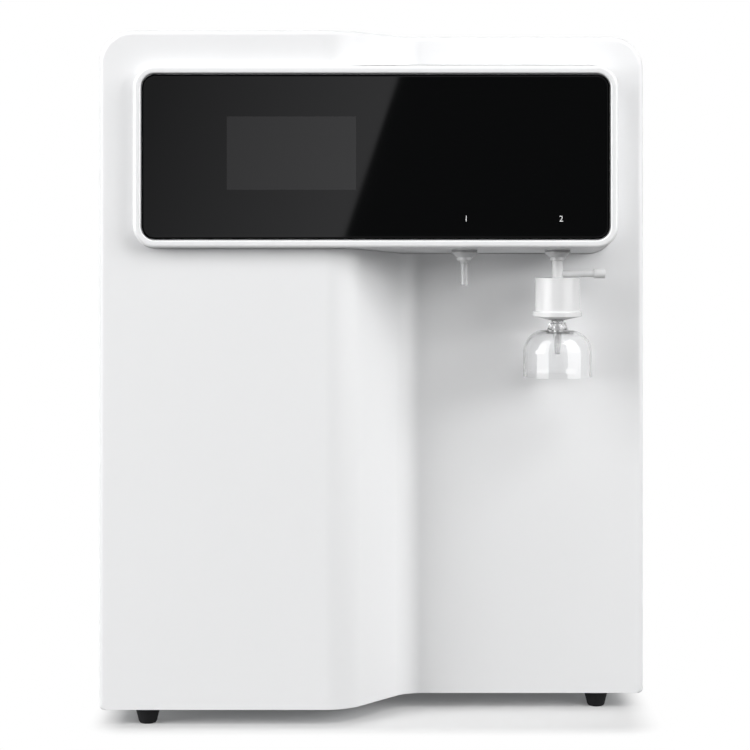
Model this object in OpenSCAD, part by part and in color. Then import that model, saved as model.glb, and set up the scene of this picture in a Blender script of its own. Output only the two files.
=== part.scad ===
// Bench-top ultrapure water system.
// X to the right, Y to the back, Z up. The origin is on the bench, under the middle of the whole unit.

/* [Cabinet] */
// Width of the cabinet
body_w = 410; // [390:1:440]
// Height of the cabinet without its feet
body_h = 503; // [495:1:540]
// Depth from the recessed front face to the rear panel
case_d = 391; // [380:1:420]
// Radius of the two upper corners, seen from the front
corner_r = 25; // [18:1:32]
// Radius of the two lower corners of the front cover
low_corner_r = 3; // [2:0.5:4]
// Wall of the moulded front cover
cover_wall = 3; // [2.5:0.1:3.5]
// Rounding of the cover's front edges
edge_r = 4; // [3:0.5:6]
// Depth of the front cover behind the recessed face
cover_d = 45; // [40:1:60]
// Thickness of the casing's sheet metal
sheet = 1.5; // [1:0.1:2]
// How far the casing reaches into the front cover
cover_lap = 12; // [8:1:16]

/* [Front step] */
// How far the left part of the front stands out
bulge_d = 50; // [46:1:56]
// Where the step begins, from the middle of the front
step_x = -38; // [-48:1:-30]
// Radius of the step's outward bend
step_out_r = 36; // [30:1:40]
// Radius of the step's inward bend
step_in_r = 26; // [20:1:30]
// Steepest angle of the step
step_angle = 48; // [44:1:56]

/* [Display pod] */
// Distance from the cabinet's side to the pod's side
pod_side = 26.5; // [25:0.5:34]
// Height of the pod's front
pod_h = 134; // [128:1:140]
// Corner radius of the pod's front
pod_r = 16; // [12:1:20]
// How far the pod stands out of the raised front face
pod_proud = 9; // [8:0.5:14]
// Distance from the cabinet's top to the pod's top
pod_drop = 27; // [25:1:32]
// Draft angle of the pod's sides
pod_draft = 5.4; // [4:0.1:6]
// Wall of the pod's housing
pod_wall = 3; // [2.5:0.1:3.5]
// Depth of the bezel
bezel_d = 6; // [6:0.2:8]
// Width of the bezel's face beside the glass
bezel_face = 5.7; // [5:0.1:7]
// Thickness of the front glass
glass_t = 3; // [2:0.1:3.2]
// How far the glass lies behind the bezel's face
glass_sunk = 1; // [0.6:0.1:1.4]
// Width of the display's active area
lcd_w = 95; // [90:1:100]
// Height of the display's active area
lcd_h = 53.9; // [50:0.1:58]
// Distance of the display's active area from the pod's left side
lcd_side = 69; // [60:1:76]

/* [Outlets] */
// Distance of the plain outlet from the pod's right side
outlet_1_side = 112; // [106:0.5:120]
// Distance of the filtered outlet from the pod's right side
outlet_2_side = 42.2; // [36:0.1:48]
// Distance of both outlets in front of the recessed face
outlet_out = 30; // [27:0.5:33]
// Diameter of an outlet's flange
flange_dia = 19.4; // [18:0.2:21]
// Outer diameter of the plain nozzle
nozzle_dia = 5.6; // [5:0.1:6.4]
// Length of the plain nozzle below its flange
nozzle_len = 25; // [20:0.5:30]

/* [Capsule filter] */
// Diameter of the capsule's body
capsule_dia = 33.2; // [30:0.2:36]
// Height of the capsule's body
capsule_h = 25.5; // [22:0.5:30]
// Diameter of the weld flange at the capsule's base
capsule_rim_dia = 36.4; // [34:0.2:39]
// Diameter of the vent arm
vent_dia = 5.2; // [4.8:0.1:6]
// Reach of the vent arm from the capsule's axis
vent_reach = 27.2; // [24:0.2:32]
// Length of the vent cap
vent_cap_len = 8.3; // [7:0.1:10]
// Outer diameter of the clear bell
bell_dia = 51.2; // [48:0.2:56]
// Height of the clear bell
bell_h = 34.4; // [30:0.2:38]
// Wall of the clear bell
bell_wall = 1.8; // [1.4:0.1:2.2]

/* [Feet] */
// Height of a foot
foot_h = 12; // [10:0.5:14]
// Diameter of a foot at its top
foot_top_dia = 18; // [16:0.5:20]
// Diameter of a foot on the bench
foot_low_dia = 13; // [12:0.5:15]
// Distance of a foot's middle from the cabinet's side
foot_side = 35; // [30:1:45]
// Distance of a front foot's middle from the face above it
foot_front = 13.5; // [12:0.5:16]

/* [Service door] */
// Height of the door's lower edge above the bench
door_z = 44; // [40:1:60]
// Distance from the cabinet's top to the door's upper edge
door_drop = 75; // [72:1:90]
// Distance from the front cover to the door
door_front = 24; // [20:1:30]
// Distance from the rear panel to the door
door_rear = 35; // [30:1:42]
// Gap around the service door
door_gap = 2; // [1.5:0.1:3]
// Depth of the door's folded edges
door_fold = 12; // [10:0.5:13]
// Diameter of the door's hinge pins
door_pin_dia = 4; // [3:0.1:5]

/* [Cartridges] */
// Outer diameter of a cartridge
cart_dia = 76; // [70:1:80]
// Length of a cartridge's body
cart_len = 270; // [240:1:290]
// Distance between two cartridges
cart_pitch = 94; // [92:0.5:96]
// Distance from the cabinet's side to the cartridges' middle
cart_side = 63; // [61:1:65]
// Distance from the cabinet's top to the underside of the cartridge heads
head_drop = 129; // [125:1:139]
// Diameter of a cartridge head
head_dia = 84; // [82:0.5:86]

/* [Rear] */
// Diameter of the water tubes
tube_dia = 6.35; // [6:0.05:6.5]
// Reach of the water ports behind the rear panel
port_out = 20; // [18:0.5:24]
// Distance between two water ports
port_pitch = 34; // [30:1:38]
// Height of the water ports above the bench
port_z = 70; // [60:1:80]
// Travel of a port's release collet
collet_travel = 1.2; // [1:0.1:1.5]
// Distance from the cabinet's side to the power inlet's middle
inlet_side = 65; // [55:1:75]
// Height of the power inlet above the bench
inlet_z = 80; // [70:1:90]

/* [Hidden] */

$fn = 48;
hull_fn = 32;           // facets of a circle inside a hull
arc_steps = 6;          // steps of each bend of the front step
corner_step = 15;       // degrees between two stations of an upper corner
round_steps = 4;        // steps of the cover's rounded front edge
gap = 0.3;              // free play between pieces that only lie beside each other
fit = 0.05;             // radial clearance of pins and screws in their holes
skin = 0.01;            // thickness of the end sections of a flared solid

// Levels along Y and Z
total_d = pod_proud + bulge_d + case_d + port_out;
y_front = -total_d / 2;
y_bulge = y_front + pod_proud;
y_recess = y_bulge + bulge_d;
y_split = y_recess + cover_d;
y_rear = y_recess + case_d;
y_panel = y_rear - sheet;
z_base = foot_h;
z_top = z_base + body_h;
half_w = body_w / 2;

// The casing runs inside the cover's rear edge, the base plate inside the casing
wrap_in = cover_wall + gap;
base_in = wrap_in + sheet + 0.2;
base_t = 2;
base_fold = 18;
z_floor = z_base + base_t;
wrap_inner_x = half_w - wrap_in - sheet;
y_wrap = y_split - cover_lap;

// Pod
pod_w = body_w - 2 * pod_side;
lcd_x = lcd_side + lcd_w / 2 - pod_w / 2;
outlet_1_x = pod_w / 2 - outlet_1_side;
outlet_2_x = pod_w / 2 - outlet_2_side;
pod_z = z_top - pod_drop - pod_h / 2;
flange_t = 3;
flange_w = 8;
boss_h = 6;
pod_d = pod_proud + bulge_d + cover_wall + boss_h + flange_t;
back_t = 2;
y_pod_back = y_front + pod_d;
slope = tan(pod_draft);
glass_play = 0.8;
glass_w = pod_w - 2 * (bezel_face + glass_play);
glass_h = pod_h - 2 * (bezel_face + glass_play);
glass_r = pod_r - bezel_face - glass_play;
gasket_w = 4;
gasket_t = 0.8;
lcd_z = pod_z + 2.7;
screw_side_z = 45;      // pod screws on the sides, from the pod's middle
screw_top_x = 110;      // pod screws above and below, from the pod's middle

// Outlets
y_outlet = y_recess - outlet_out;
z_outlet = pod_z - pod_h / 2 - (y_outlet + flange_dia / 2 - y_front - bezel_d) * slope - 0.2;

// Capsule filter and bell, downward from the outlet
neck_dia = 8.2;
z_capsule = z_outlet - 19.3;
z_rim = z_capsule - capsule_h;
rim_h = 3.4;
cone_h = 3.4;
spout_dia = 9;
z_spout = z_rim - rim_h - cone_h;
z_bell = z_spout - 7.2;
spout_tip = z_bell - 18;
vent_clear = 0.3;
z_vent = z_capsule + vent_dia / 2 + vent_clear;

// Service door and its opening
door_y1 = y_rear - door_rear;
door_y0 = y_split + door_front;
door_z1 = z_top - door_drop;
door_x = -half_w + wrap_in;
hinge_leg = 8;
pin_x = door_x + 7;
pin_y = door_y1 - 7;
pin_r = door_pin_dia / 2;

// Cartridges, counted from the front
cart_x = -half_w + cart_side;
cart_y0 = (door_y0 + door_y1) / 2 - cart_pitch;
cart_r = cart_dia / 2;
neck_r = 20;
lug_r = 24;
lug_h = 4;
head_z = z_top - head_drop;
head_h = 40;
z_cart_top = head_z - 6;
z_lug = head_z + 10;
head_port = 22;

// Chassis
wall_clear = 12;        // free space between the cartridges and the middle wall
wall_x = cart_x + cart_r + wall_clear;
wall_t = 2;
wall_y0 = y_split + 20;
wall_y1 = y_rear - 12;
wall_top = z_top - 53;
shelf_z = 262;
shelf_t = 2;
shelf_x1 = wrap_inner_x - 5;

// Rear
port_x = [for (i = [0:2]) cart_x + i * port_pitch];
tube_r = tube_dia / 2;
inlet_x = half_w - inlet_side;
port_bore_r = tube_r + 0.075;
switch_z = inlet_z + 60;

// Screws
m3 = 1.5;
m4 = 2;

// ---------------------------------------------------------------- shapes that repeat

// A flat outline, drawn as seen from the front, made solid from y0 back to y1
module along_y(y0, y1) {
    translate([0, y1, 0]) rotate([90, 0, 0]) linear_extrude(y1 - y0) children();
}

// A flat outline, drawn as seen from the right, made solid from x0 to x1
module along_x(x0, x1) {
    translate([x0, 0, 0]) rotate([90, 0, 90]) linear_extrude(x1 - x0) children();
}

module rod_y(x, z, r, y0, y1) {
    translate([x, y0, z]) rotate([-90, 0, 0]) cylinder(h = y1 - y0, r = r);
}

module rod_x(y, z, r, x0, x1) {
    translate([x0, y, z]) rotate([0, 90, 0]) cylinder(h = x1 - x0, r = r);
}

module rod_z(x, y, r, z0, z1) {
    translate([x, y, z0]) cylinder(h = z1 - z0, r = r);
}

module block(x0, x1, y0, y1, z0, z1) {
    translate([x0, y0, z0]) cube([x1 - x0, y1 - y0, z1 - z0]);
}

module round_rect(w, h, r) {
    square([w - 2 * r, h], center = true);
    square([w, h - 2 * r], center = true);
    for (sx = [-1, 1], sy = [-1, 1])
        translate([sx * (w / 2 - r), sy * (h / 2 - r)]) circle(r);
}

// A pan-head screw along -Z whose head stands on the origin's plane, with a hexagon socket
module screw(r, len) {
    difference() {
        rotate_extrude() polygon([
            [0, -len], [0.75 * r, -len], [r, -len + 0.4 * r], [r, 0], [1.9 * r, 0],
            [1.9 * r, 0.6 * r], [1.4 * r, 1.2 * r], [0, 1.2 * r]
        ]);
        translate([0, 0, 0.5 * r]) cylinder(h = r, r = 0.8 * r, $fn = 6);
    }
}

// A flat-head screw along -Z whose head lies flush with the origin's plane
module flat_screw(r, len) {
    difference() {
        rotate_extrude() polygon([
            [0, -len], [0.75 * r, -len], [r, -len + 0.4 * r], [r, -0.9 * r], [1.8 * r, -0.1 * r],
            [1.8 * r, 0], [0, 0]
        ]);
        translate([0, 0, -0.5 * r]) cylinder(h = r, r = 0.8 * r, $fn = 6);
    }
}

// The seat of a flat-head screw, to be cut from a plate
module flat_seat(r, depth) {
    translate([0, 0, -depth]) cylinder(h = depth, r = r + fit);
    translate([0, 0, -0.9 * r]) cylinder(h = 0.8 * r, r1 = r + fit, r2 = 1.8 * r + fit);
    translate([0, 0, -0.1 * r - 0.01]) cylinder(h = r, r = 1.8 * r + fit);
}

// A water tube along straight runs that meet at right angles in round bends
module tube(points, bend) {
    last = len(points) - 1;
    for (i = [0:last - 1]) {
        run = points[i + 1] - points[i];
        way = run / norm(run);
        start = i == 0 ? 0 : bend;
        stop = i == last - 1 ? 0 : bend;
        multmatrix(frame_along(way, points[i] + start * way))
            linear_extrude(norm(run) - start - stop) tube_section();
    }
    for (i = [1:last - 1]) {
        way_in = (points[i] - points[i - 1]) / norm(points[i] - points[i - 1]);
        way_out = (points[i + 1] - points[i]) / norm(points[i + 1] - points[i]);
        multmatrix(frame_of(-way_out, way_in, points[i] + bend * (way_out - way_in)))
            rotate_extrude(angle = 90) translate([bend, 0]) tube_section();
    }
}

module tube_section() {
    difference() {
        circle(tube_r);
        circle(tube_r - 1);
    }
}

// A frame at a point with its first two axes given
function frame_of(a, b, at) = let (c = cross(a, b)) [
    [a.x, b.x, c.x, at.x],
    [a.y, b.y, c.y, at.y],
    [a.z, b.z, c.z, at.z],
    [0, 0, 0, 1]
];

// A frame at a point with its third axis along a main direction
function frame_along(way, at) =
    let (a = abs(way.z) > 0.5 ? [1, 0, 0] : [0, 0, 1])
    frame_of(a, cross(way, a), at);

// ---------------------------------------------------------------- front cover

// The step's path in plan, drawn in by off from the outer surface
step_line = (bulge_d - (step_out_r + step_in_r) * (1 - cos(step_angle))) / sin(step_angle);
step_end_x = step_x + (step_out_r + step_in_r) * sin(step_angle) + step_line * cos(step_angle);
function step_path(off) = concat(
    [for (i = [0:arc_steps]) let (t = step_angle * i / arc_steps)
        [step_x + (step_out_r - off) * sin(t), y_bulge + step_out_r - (step_out_r - off) * cos(t)]],
    [for (i = [arc_steps:-1:0]) let (t = step_angle * i / arc_steps)
        [step_end_x - (step_in_r + off) * sin(t), y_recess - step_in_r + (step_in_r + off) * cos(t)]]
);

// Height of the lower corner's curve at a distance from the cover's side
function low_corner(dx) = dx >= low_corner_r ? 0
    : low_corner_r - sqrt(pow(low_corner_r, 2) - pow(low_corner_r - dx, 2));

// Stations of the cover's outline from left to right: x, y of the front, upper and lower z.
// off is the distance inside the outer surface, inset the rounding's draw-in.
low_ease = 0.1;         // share of the rounding that the lower edge follows
function cover_stations(off, inset) =
    let (r = corner_r - off - inset, x = half_w - off - inset)
    let (z_up = z_top - corner_r, z_low = z_base + low_ease * inset)
    concat(
        [for (a = [0:corner_step:90]) let (dx = r * (1 - cos(a)))
            [-x + dx, y_bulge + off, z_up + r * sin(a), z_low + low_corner(dx)]],
        [for (p = step_path(off)) [p.x, p.y, z_up + r, z_low]],
        [for (a = [90:-corner_step:0]) let (dx = r * (1 - cos(a)))
            [x - dx, y_recess + off, z_up + r * sin(a), z_low + low_corner(dx)]]
    );

// One closed ring from a row of stations, set back behind the front surface
function front_ring(stations, back) = concat(
    [for (s = stations) [s[0], s[1] + back, s[2]]],
    [for (i = [len(stations) - 1:-1:0]) let (s = stations[i]) [s[0], s[1] + back, s[3]]]
);

// The same ring laid flat at one depth
function flat_ring(ring, y) = [for (p = ring) [p.x, y, p.z]];

// The ring with its lower side dropped to a level
function open_low(stations, z) = [for (s = stations) [s[0], s[1], s[2], z]];

// A solid through rings from the back to the front, closed by upright strips
module through_rings(rings) {
    n = len(rings[0]);
    half = n / 2;
    last = (len(rings) - 1) * n;
    sides = [for (k = [0:len(rings) - 2], i = [0:n - 1])
        let (a = k * n + i, b = k * n + (i + 1) % n) each [[a, b, b + n], [a, b + n, a + n]]];
    front = [for (i = [0:half - 2])
        each [[last + i, last + i + 1, last + n - 2 - i], [last + i, last + n - 2 - i, last + n - 1 - i]]];
    back = [for (i = [0:half - 2])
        each [[n - 1 - i, n - 2 - i, i + 1], [n - 1 - i, i + 1, i]]];
    polyhedron(points = [for (r = rings) each r], faces = concat(sides, front, back));
}

module cover_outside() {
    rings = [for (k = [0:round_steps]) let (t = 90 * k / round_steps)
        front_ring(cover_stations(0, edge_r * (1 - cos(t))), edge_r * (1 - sin(t)))];
    through_rings(concat([flat_ring(rings[0], y_split)], rings));
}

module cover_inside() {
    ring = front_ring(open_low(cover_stations(cover_wall, 0), z_base - 1), 0);
    through_rings([flat_ring(ring, y_split + 1), ring]);
}

// Where a pod screw goes, with the depth of the skin that its boss grows from
pod_screw_x = pod_w / 2 + (pod_d - bezel_d) * slope + flange_w / 2;
pod_screw_z = pod_h / 2 + (pod_d - bezel_d) * slope + flange_w / 2;
pod_screw_places = concat(
    [for (sx = [-1, 1], sz = [-1, 1]) [sx * pod_screw_x, pod_z + sz * screw_side_z]],
    [for (sx = [-1, 1], sz = [-1, 1]) [sx * screw_top_x, pod_z + sz * pod_screw_z]]
);
function skin_y(x) = (x < 0 ? y_bulge : y_recess) + cover_wall;

// Screws that join the base plate to the cover's foot bosses
cover_boss_r = 6;
cover_boss_h = 20;
cover_boss_in = 80;     // from the cabinet's side
cover_boss_places = [
    [-half_w + cover_boss_in, y_bulge + cover_wall + cover_boss_r - 1],
    [half_w - cover_boss_in, y_recess + cover_wall + cover_boss_r - 1]
];

module front_cover() color("whitesmoke") {
    difference() {
        union() {
            difference() {
                cover_outside();
                cover_inside();
            }
            for (p = pod_screw_places)
                rod_y(p[0], p[1], flange_w / 2 - 0.4, skin_y(p[0]) - 1, y_pod_back - flange_t);
            for (p = cover_boss_places)
                rod_z(p[0], p[1], cover_boss_r, z_floor, z_floor + cover_boss_h);
        }
        pod_solid(gap, bezel_d - 20, pod_d + 20);
        for (p = pod_screw_places)
            rod_y(p[0], p[1], m3 + fit, y_pod_back - 10, y_pod_back);
        for (p = cover_boss_places)
            rod_z(p[0], p[1], m4 + fit, z_floor - 1, z_floor + 12);
    }
}

// ---------------------------------------------------------------- casing

// The casing's outline as seen from the front, drawn in from the cabinet's outline
module casing_outline(inset, z_low) {
    w = half_w - inset;
    r = corner_r - inset;
    top = z_top - inset;
    translate([-w, z_low]) square([2 * w, top - r - z_low]);
    translate([-w + r, z_low]) square([2 * (w - r), top - z_low]);
    for (s = [-1, 1]) translate([s * (w - r), top - r]) circle(r);
}

tab = 14;
side_tab_end = 60;      // from the cabinet's lower and upper edge
side_tab_z = [z_base + side_tab_end, (z_base + z_top) / 2, z_top - side_tab_end];
top_tab_end = 85;       // from the cabinet's sides
top_tab_x = [-half_w + top_tab_end, 0, half_w - top_tab_end];
// Middle of each rear screw
rear_screw_places = concat(
    [for (s = [-1, 1], z = side_tab_z) [s * (wrap_inner_x - tab / 2), z]],
    [for (x = top_tab_x) [x, z_top - wrap_in - sheet - tab / 2]]
);
casing_screw_y = [y_split + 35, (y_split + y_rear) / 2, y_rear - 60];
casing_screw_z = z_floor + base_fold / 2;

module casing_wrap() color("gainsboro") {
    difference() {
        union() {
            along_y(y_wrap, y_panel) difference() {
                casing_outline(wrap_in, z_base);
                casing_outline(wrap_in + sheet, z_base - 1);
            }
            for (p = rear_screw_places)
                block(p[0] - tab / 2, p[0] + tab / 2, y_panel - sheet, y_panel,
                    p[1] - tab / 2, p[1] + tab / 2);
        }
        block(-half_w, -half_w + 20, door_y0 - door_gap, door_y1 + door_gap,
            door_z - door_gap, door_z1 + door_gap);
        for (p = rear_screw_places)
            rod_y(p[0], p[1], m4 + fit, y_panel - 5, y_panel + 1);
        for (s = [-1, 1], y = casing_screw_y)
            rod_x(y, casing_screw_z, m4 + fit, s * half_w - 10, s * half_w + 10);
    }
}

// Louvres: rows of slots in two banks
louvre_w = 60;
louvre_h = 4;
louvre_pitch = 10;
louvre_rows = 12;
louvre_z = 300;
louvre_bank_x = [-90, 90];

module rear_panel() color("gainsboro") {
    difference() {
        along_y(y_panel, y_rear) casing_outline(wrap_in, z_base);
        for (x = louvre_bank_x, i = [0:louvre_rows - 1])
            translate([x, 0, louvre_z + i * louvre_pitch])
                along_y(y_panel - 1, y_rear + 1) round_rect(louvre_w, louvre_h, louvre_h / 2 - 0.01);
        for (p = rear_screw_places)
            rod_y(p[0], p[1], m4 + fit, y_panel - 1, y_rear + 1);
        for (x = port_x)
            rod_y(x, port_z, port_thread_r + 0.15, y_panel - 1, y_rear + 1);
        block(inlet_x - inlet_w / 2 - 0.15, inlet_x + inlet_w / 2 + 0.15, y_panel - 1, y_rear + 1,
            inlet_z - inlet_h / 2 - 0.15, inlet_z + inlet_h / 2 + 0.15);
        block(inlet_x - switch_w / 2 - 0.15, inlet_x + switch_w / 2 + 0.15, y_panel - 1, y_rear + 1,
            switch_z - switch_h / 2 - 0.15, switch_z + switch_h / 2 + 0.15);
    }
}

// The floor follows the front's step in plan
module base_plan(inset) {
    polygon(concat(
        [[-half_w + inset, y_panel], [-half_w + inset, y_bulge + inset]],
        step_path(inset),
        [[half_w - inset, y_recess + inset], [half_w - inset, y_panel]]
    ));
}

foot_places = [
    [-half_w + foot_side, y_bulge + foot_front],
    [half_w - foot_side, y_recess + foot_front],
    [-half_w + foot_side, y_rear - 25],
    [half_w - foot_side, y_rear - 25]
];

module base_plate() color("silver") {
    difference() {
        union() {
            translate([0, 0, z_base]) linear_extrude(base_t) base_plan(base_in);
            for (s = [-1, 1])
                block(s < 0 ? -half_w + base_in : half_w - base_in - base_t,
                    s < 0 ? -half_w + base_in + base_t : half_w - base_in,
                    y_split, y_panel, z_base, z_floor + base_fold);
        }
        for (p = foot_places)
            rod_z(p[0], p[1], m4 + fit, z_base - 1, z_floor + 1);
        for (p = cover_boss_places)
            translate([p[0], p[1], z_base]) rotate([180, 0, 0]) flat_seat(m4, base_t + 1);
        for (s = [-1, 1], y = casing_screw_y)
            rod_x(y, casing_screw_z, m4 + fit, s * half_w - 12, s * half_w + 12);
    }
}

foot_seat = 5;          // height of the screw's seat in a foot

module feet() color("#141414") {
    for (p = foot_places) translate([p[0], p[1], 0]) rotate_extrude() polygon([
        [m4 + 0.4, foot_h], [foot_top_dia / 2, foot_h], [foot_top_dia / 2, foot_h - 2],
        [foot_low_dia / 2 + 0.3, 1.5], [foot_low_dia / 2 - 0.2, 0.5], [foot_low_dia / 2 - 0.8, 0],
        [1.9 * m4 + 0.4, 0], [1.9 * m4 + 0.4, foot_seat], [m4 + 0.4, foot_seat]
    ]);
}

// Foot screws with their nuts on the floor, and the two screws into the front cover
module foot_screws() color("silver") {
    for (p = foot_places) translate([p[0], p[1], foot_seat]) {
        rotate([180, 0, 0]) screw(m4, z_floor + 5 - foot_seat);
        translate([0, 0, z_floor - foot_seat]) cylinder(h = 3.2, r = 4, $fn = 6);
    }
    for (p = cover_boss_places) translate([p[0], p[1], z_base])
        rotate([180, 0, 0]) flat_screw(m4, 12);
}

module casing_screws() color("silver") {
    for (s = [-1, 1], y = casing_screw_y)
        translate([s * (half_w - wrap_in), y, casing_screw_z]) rotate([0, s * 90, 0]) screw(m4, 6);
}

module rear_screws() color("silver") {
    for (p = rear_screw_places)
        translate([p[0], y_rear, p[1]]) rotate([-90, 0, 0]) screw(m4, 6);
}

// ---------------------------------------------------------------- service door

pull_len = 60;
pull_h = 18;
pull_d = 8;
pull_z = (door_z + door_z1) / 2;

module service_door() color("gainsboro") {
    difference() {
        block(door_x, door_x + door_fold, door_y0, door_y1, door_z, door_z1);
        block(door_x + sheet, door_x + door_fold + 1, door_y0 + sheet, door_y1 - sheet,
            door_z + sheet, door_z1 - sheet);
        translate([0, door_y0 + 12 + pull_h / 2, pull_z])
            along_x(door_x - 1, door_x + sheet + 1) round_rect(pull_h, pull_len, 6);
        rod_z(pin_x, pin_y, pin_r + fit, door_z - 1, door_z1 + 1);
    }
    // Finger pull, a cup folded into the door's skin
    translate([0, door_y0 + 12 + pull_h / 2, pull_z]) difference() {
        along_x(door_x, door_x + pull_d + sheet) round_rect(pull_h + 2 * sheet, pull_len + 2 * sheet, 7.5);
        along_x(door_x - 1, door_x + pull_d) round_rect(pull_h, pull_len, 6);
    }
}

// Two brackets on the casing, each with its pin through the door's folded edge
module door_hinges() color("silver") {
    for (s = [0, 1]) {
        edge = s == 0 ? door_z - door_gap : door_z1 + door_gap;
        out = s == 0 ? -1 : 1;
        plate = edge + out;
        block(door_x + sheet, door_x + sheet + 2, pin_y - 12, pin_y + 12,
            min(plate, plate + out * hinge_leg), max(plate, plate + out * hinge_leg));
        block(door_x + sheet, pin_x + 7, pin_y - 12, pin_y + 12,
            min(plate, plate + out * 3), max(plate, plate + out * 3));
        rod_z(pin_x, pin_y, pin_r, min(plate, edge - out * 8), max(plate, edge - out * 8));
        rod_z(pin_x, pin_y, pin_r + 2, min(plate, edge - out * (door_gap - gap)),
            max(plate, edge - out * (door_gap - gap)));
    }
}

// Magnets behind the door's front edge, held on the casing
module door_magnets() color("dimgray") {
    for (z = [door_z + 60, door_z1 - 60])
        block(door_x + sheet, door_x + door_fold, door_y0 - door_gap - 12, door_y0 - gap, z - 12, z + 12);
}

// ---------------------------------------------------------------- display pod

// A section of the pod, grown by a distance, at a depth behind its front
module pod_section(d, grow) {
    flare = max(d - bezel_d, -20) * slope + grow;
    r = pod_r + flare;
    for (sx = [-1, 1], sz = [-1, 1])
        translate([sx * (pod_w / 2 + flare - r), y_front + d, pod_z + sz * (pod_h / 2 + flare - r)])
            rotate([90, 0, 0]) cylinder(h = skin, r = r, center = true, $fn = hull_fn);
}

// The pod's flared solid between two depths
module pod_solid(grow, d0, d1) {
    hull() {
        pod_section(d0 + skin / 2, grow);
        pod_section(d1 - skin / 2, grow);
    }
}

pad_r = flange_dia / 2 + 1;
stem_r = 5;             // threaded stem of an outlet through the pod's floor
seal_t = 1.6;           // seal in a spot-faced seat above each outlet's flange
z_seat = z_outlet + seal_t;
z_pad_top = pod_z - pod_h / 2 + pod_wall - (y_outlet - pad_r - y_front - bezel_d) * slope + 0.2;

module display_housing() color("whitesmoke") {
    flange_grow = flange_w + (pod_d - bezel_d) * slope;
    difference() {
        union() {
            pod_solid(0, bezel_d, pod_d);
            translate([0, 0, pod_z]) along_y(y_pod_back - flange_t, y_pod_back)
                round_rect(pod_w + 2 * flange_grow, pod_h + 2 * flange_grow, pod_r + flange_grow);
            for (x = [outlet_1_x, outlet_2_x])
                rod_z(x, y_outlet, pad_r, z_seat, z_pad_top);
        }
        difference() {
            pod_solid(-pod_wall, bezel_d - 1, pod_d + 1);
            for (x = [outlet_1_x, outlet_2_x])
                rod_z(x, y_outlet, pad_r, z_seat - 1, z_pad_top);
        }
        for (x = [outlet_1_x, outlet_2_x]) {
            rod_z(x, y_outlet, flange_dia / 2 + gap, z_outlet - 1, z_seat);
            rod_z(x, y_outlet, stem_r + 0.1, z_outlet - 1, z_pad_top + 1);
        }
        for (p = pod_screw_places)
            rod_y(p[0], p[1], m3 + 0.2, y_pod_back - flange_t - 1, y_pod_back + 1);
    }
}

// White frame with a rounded outer edge and a bevelled inner edge, and a tongue into the housing
bezel_round = 2.5;
bezel_bevel = 1;
ledge_t = bezel_d - glass_sunk - glass_t - gasket_t;

module bezel_slab(d, grow) {
    r = pod_r + grow;
    for (sx = [-1, 1], sz = [-1, 1])
        translate([sx * (pod_w / 2 + grow - r), y_front + d, pod_z + sz * (pod_h / 2 + grow - r)])
            rotate([90, 0, 0]) cylinder(h = skin, r = r, center = true, $fn = hull_fn);
}

module display_bezel() color("white") {
    open_w = glass_w + 2 * glass_play;
    open_h = glass_h + 2 * glass_play;
    tongue = pod_wall + 0.15;
    difference() {
        hull() {
            for (t = [0:22.5:90])
                bezel_slab(skin / 2 + bezel_round * (1 - sin(t)), -bezel_round * (1 - cos(t)));
            bezel_slab(bezel_d - skin / 2, 0);
        }
        translate([0, 0, pod_z]) along_y(y_front - 1, y_front + bezel_d - ledge_t)
            round_rect(open_w, open_h, glass_r + glass_play);
        hull() {
            bezel_slab(-skin, -bezel_face + bezel_bevel);
            bezel_slab(bezel_bevel, -bezel_face);
        }
        translate([0, 0, pod_z]) along_y(y_front, y_front + bezel_d + 1)
            round_rect(glass_w - 2 * gasket_w, glass_h - 2 * gasket_w, glass_r - gasket_w);
    }
    translate([0, 0, pod_z]) along_y(y_front + bezel_d, y_front + bezel_d + 3) difference() {
        round_rect(pod_w - 2 * tongue, pod_h - 2 * tongue, pod_r - tongue);
        round_rect(pod_w - 2 * tongue - 3, pod_h - 2 * tongue - 3, pod_r - tongue - 1.5);
    }
}

y_glass = y_front + glass_sunk;
y_behind_glass = y_glass + glass_t;

module front_glass() color("#0c0d0d") {
    translate([0, 0, pod_z]) along_y(y_glass, y_behind_glass) round_rect(glass_w, glass_h, glass_r);
}

module glass_gasket() color("#101010") {
    translate([0, 0, pod_z]) along_y(y_behind_glass, y_behind_glass + gasket_t) difference() {
        round_rect(glass_w, glass_h, glass_r);
        round_rect(glass_w - 2 * gasket_w, glass_h - 2 * gasket_w, glass_r - gasket_w);
    }
}

lcd_rim = 5;            // metal frame around the display's active area
lcd_t = 3.4;

module display_module() color("#343536") {
    block(lcd_x - lcd_w / 2 - lcd_rim, lcd_x + lcd_w / 2 + lcd_rim, y_behind_glass, y_behind_glass + lcd_t,
        lcd_z - lcd_h / 2 - lcd_rim - 3, lcd_z + lcd_h / 2 + lcd_rim);
}

module touch_sensor() color("darkgreen") {
    difference() {
        block(lcd_x + lcd_w / 2 + lcd_rim + 14.5, glass_w / 2 - 10, y_behind_glass, y_behind_glass + 1.2,
            pod_z - 50, pod_z + 50);
        block(outlet_1_x - 26.5, outlet_1_x + 13.5, y_behind_glass - 1, y_behind_glass + 2,
            pod_z - 20, pod_z + 20);
    }
}

// Plate that closes the pod's back, with a hole for tubes and leads
module display_back() color("silver") {
    flange_grow = flange_w + (pod_d - bezel_d) * slope;
    difference() {
        translate([0, 0, pod_z]) along_y(y_pod_back, y_pod_back + back_t)
            round_rect(pod_w + 2 * flange_grow, pod_h + 2 * flange_grow, pod_r + flange_grow);
        translate([(outlet_1_x + outlet_2_x) / 2, 0, pod_z - pod_h / 2 + 28])
            along_y(y_pod_back - 1, y_pod_back + back_t + 1) round_rect(100, 30, 8);
        for (p = pod_screw_places)
            rod_y(p[0], p[1], m3 + 0.2, y_pod_back - 1, y_pod_back + back_t + 1);
    }
}

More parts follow.
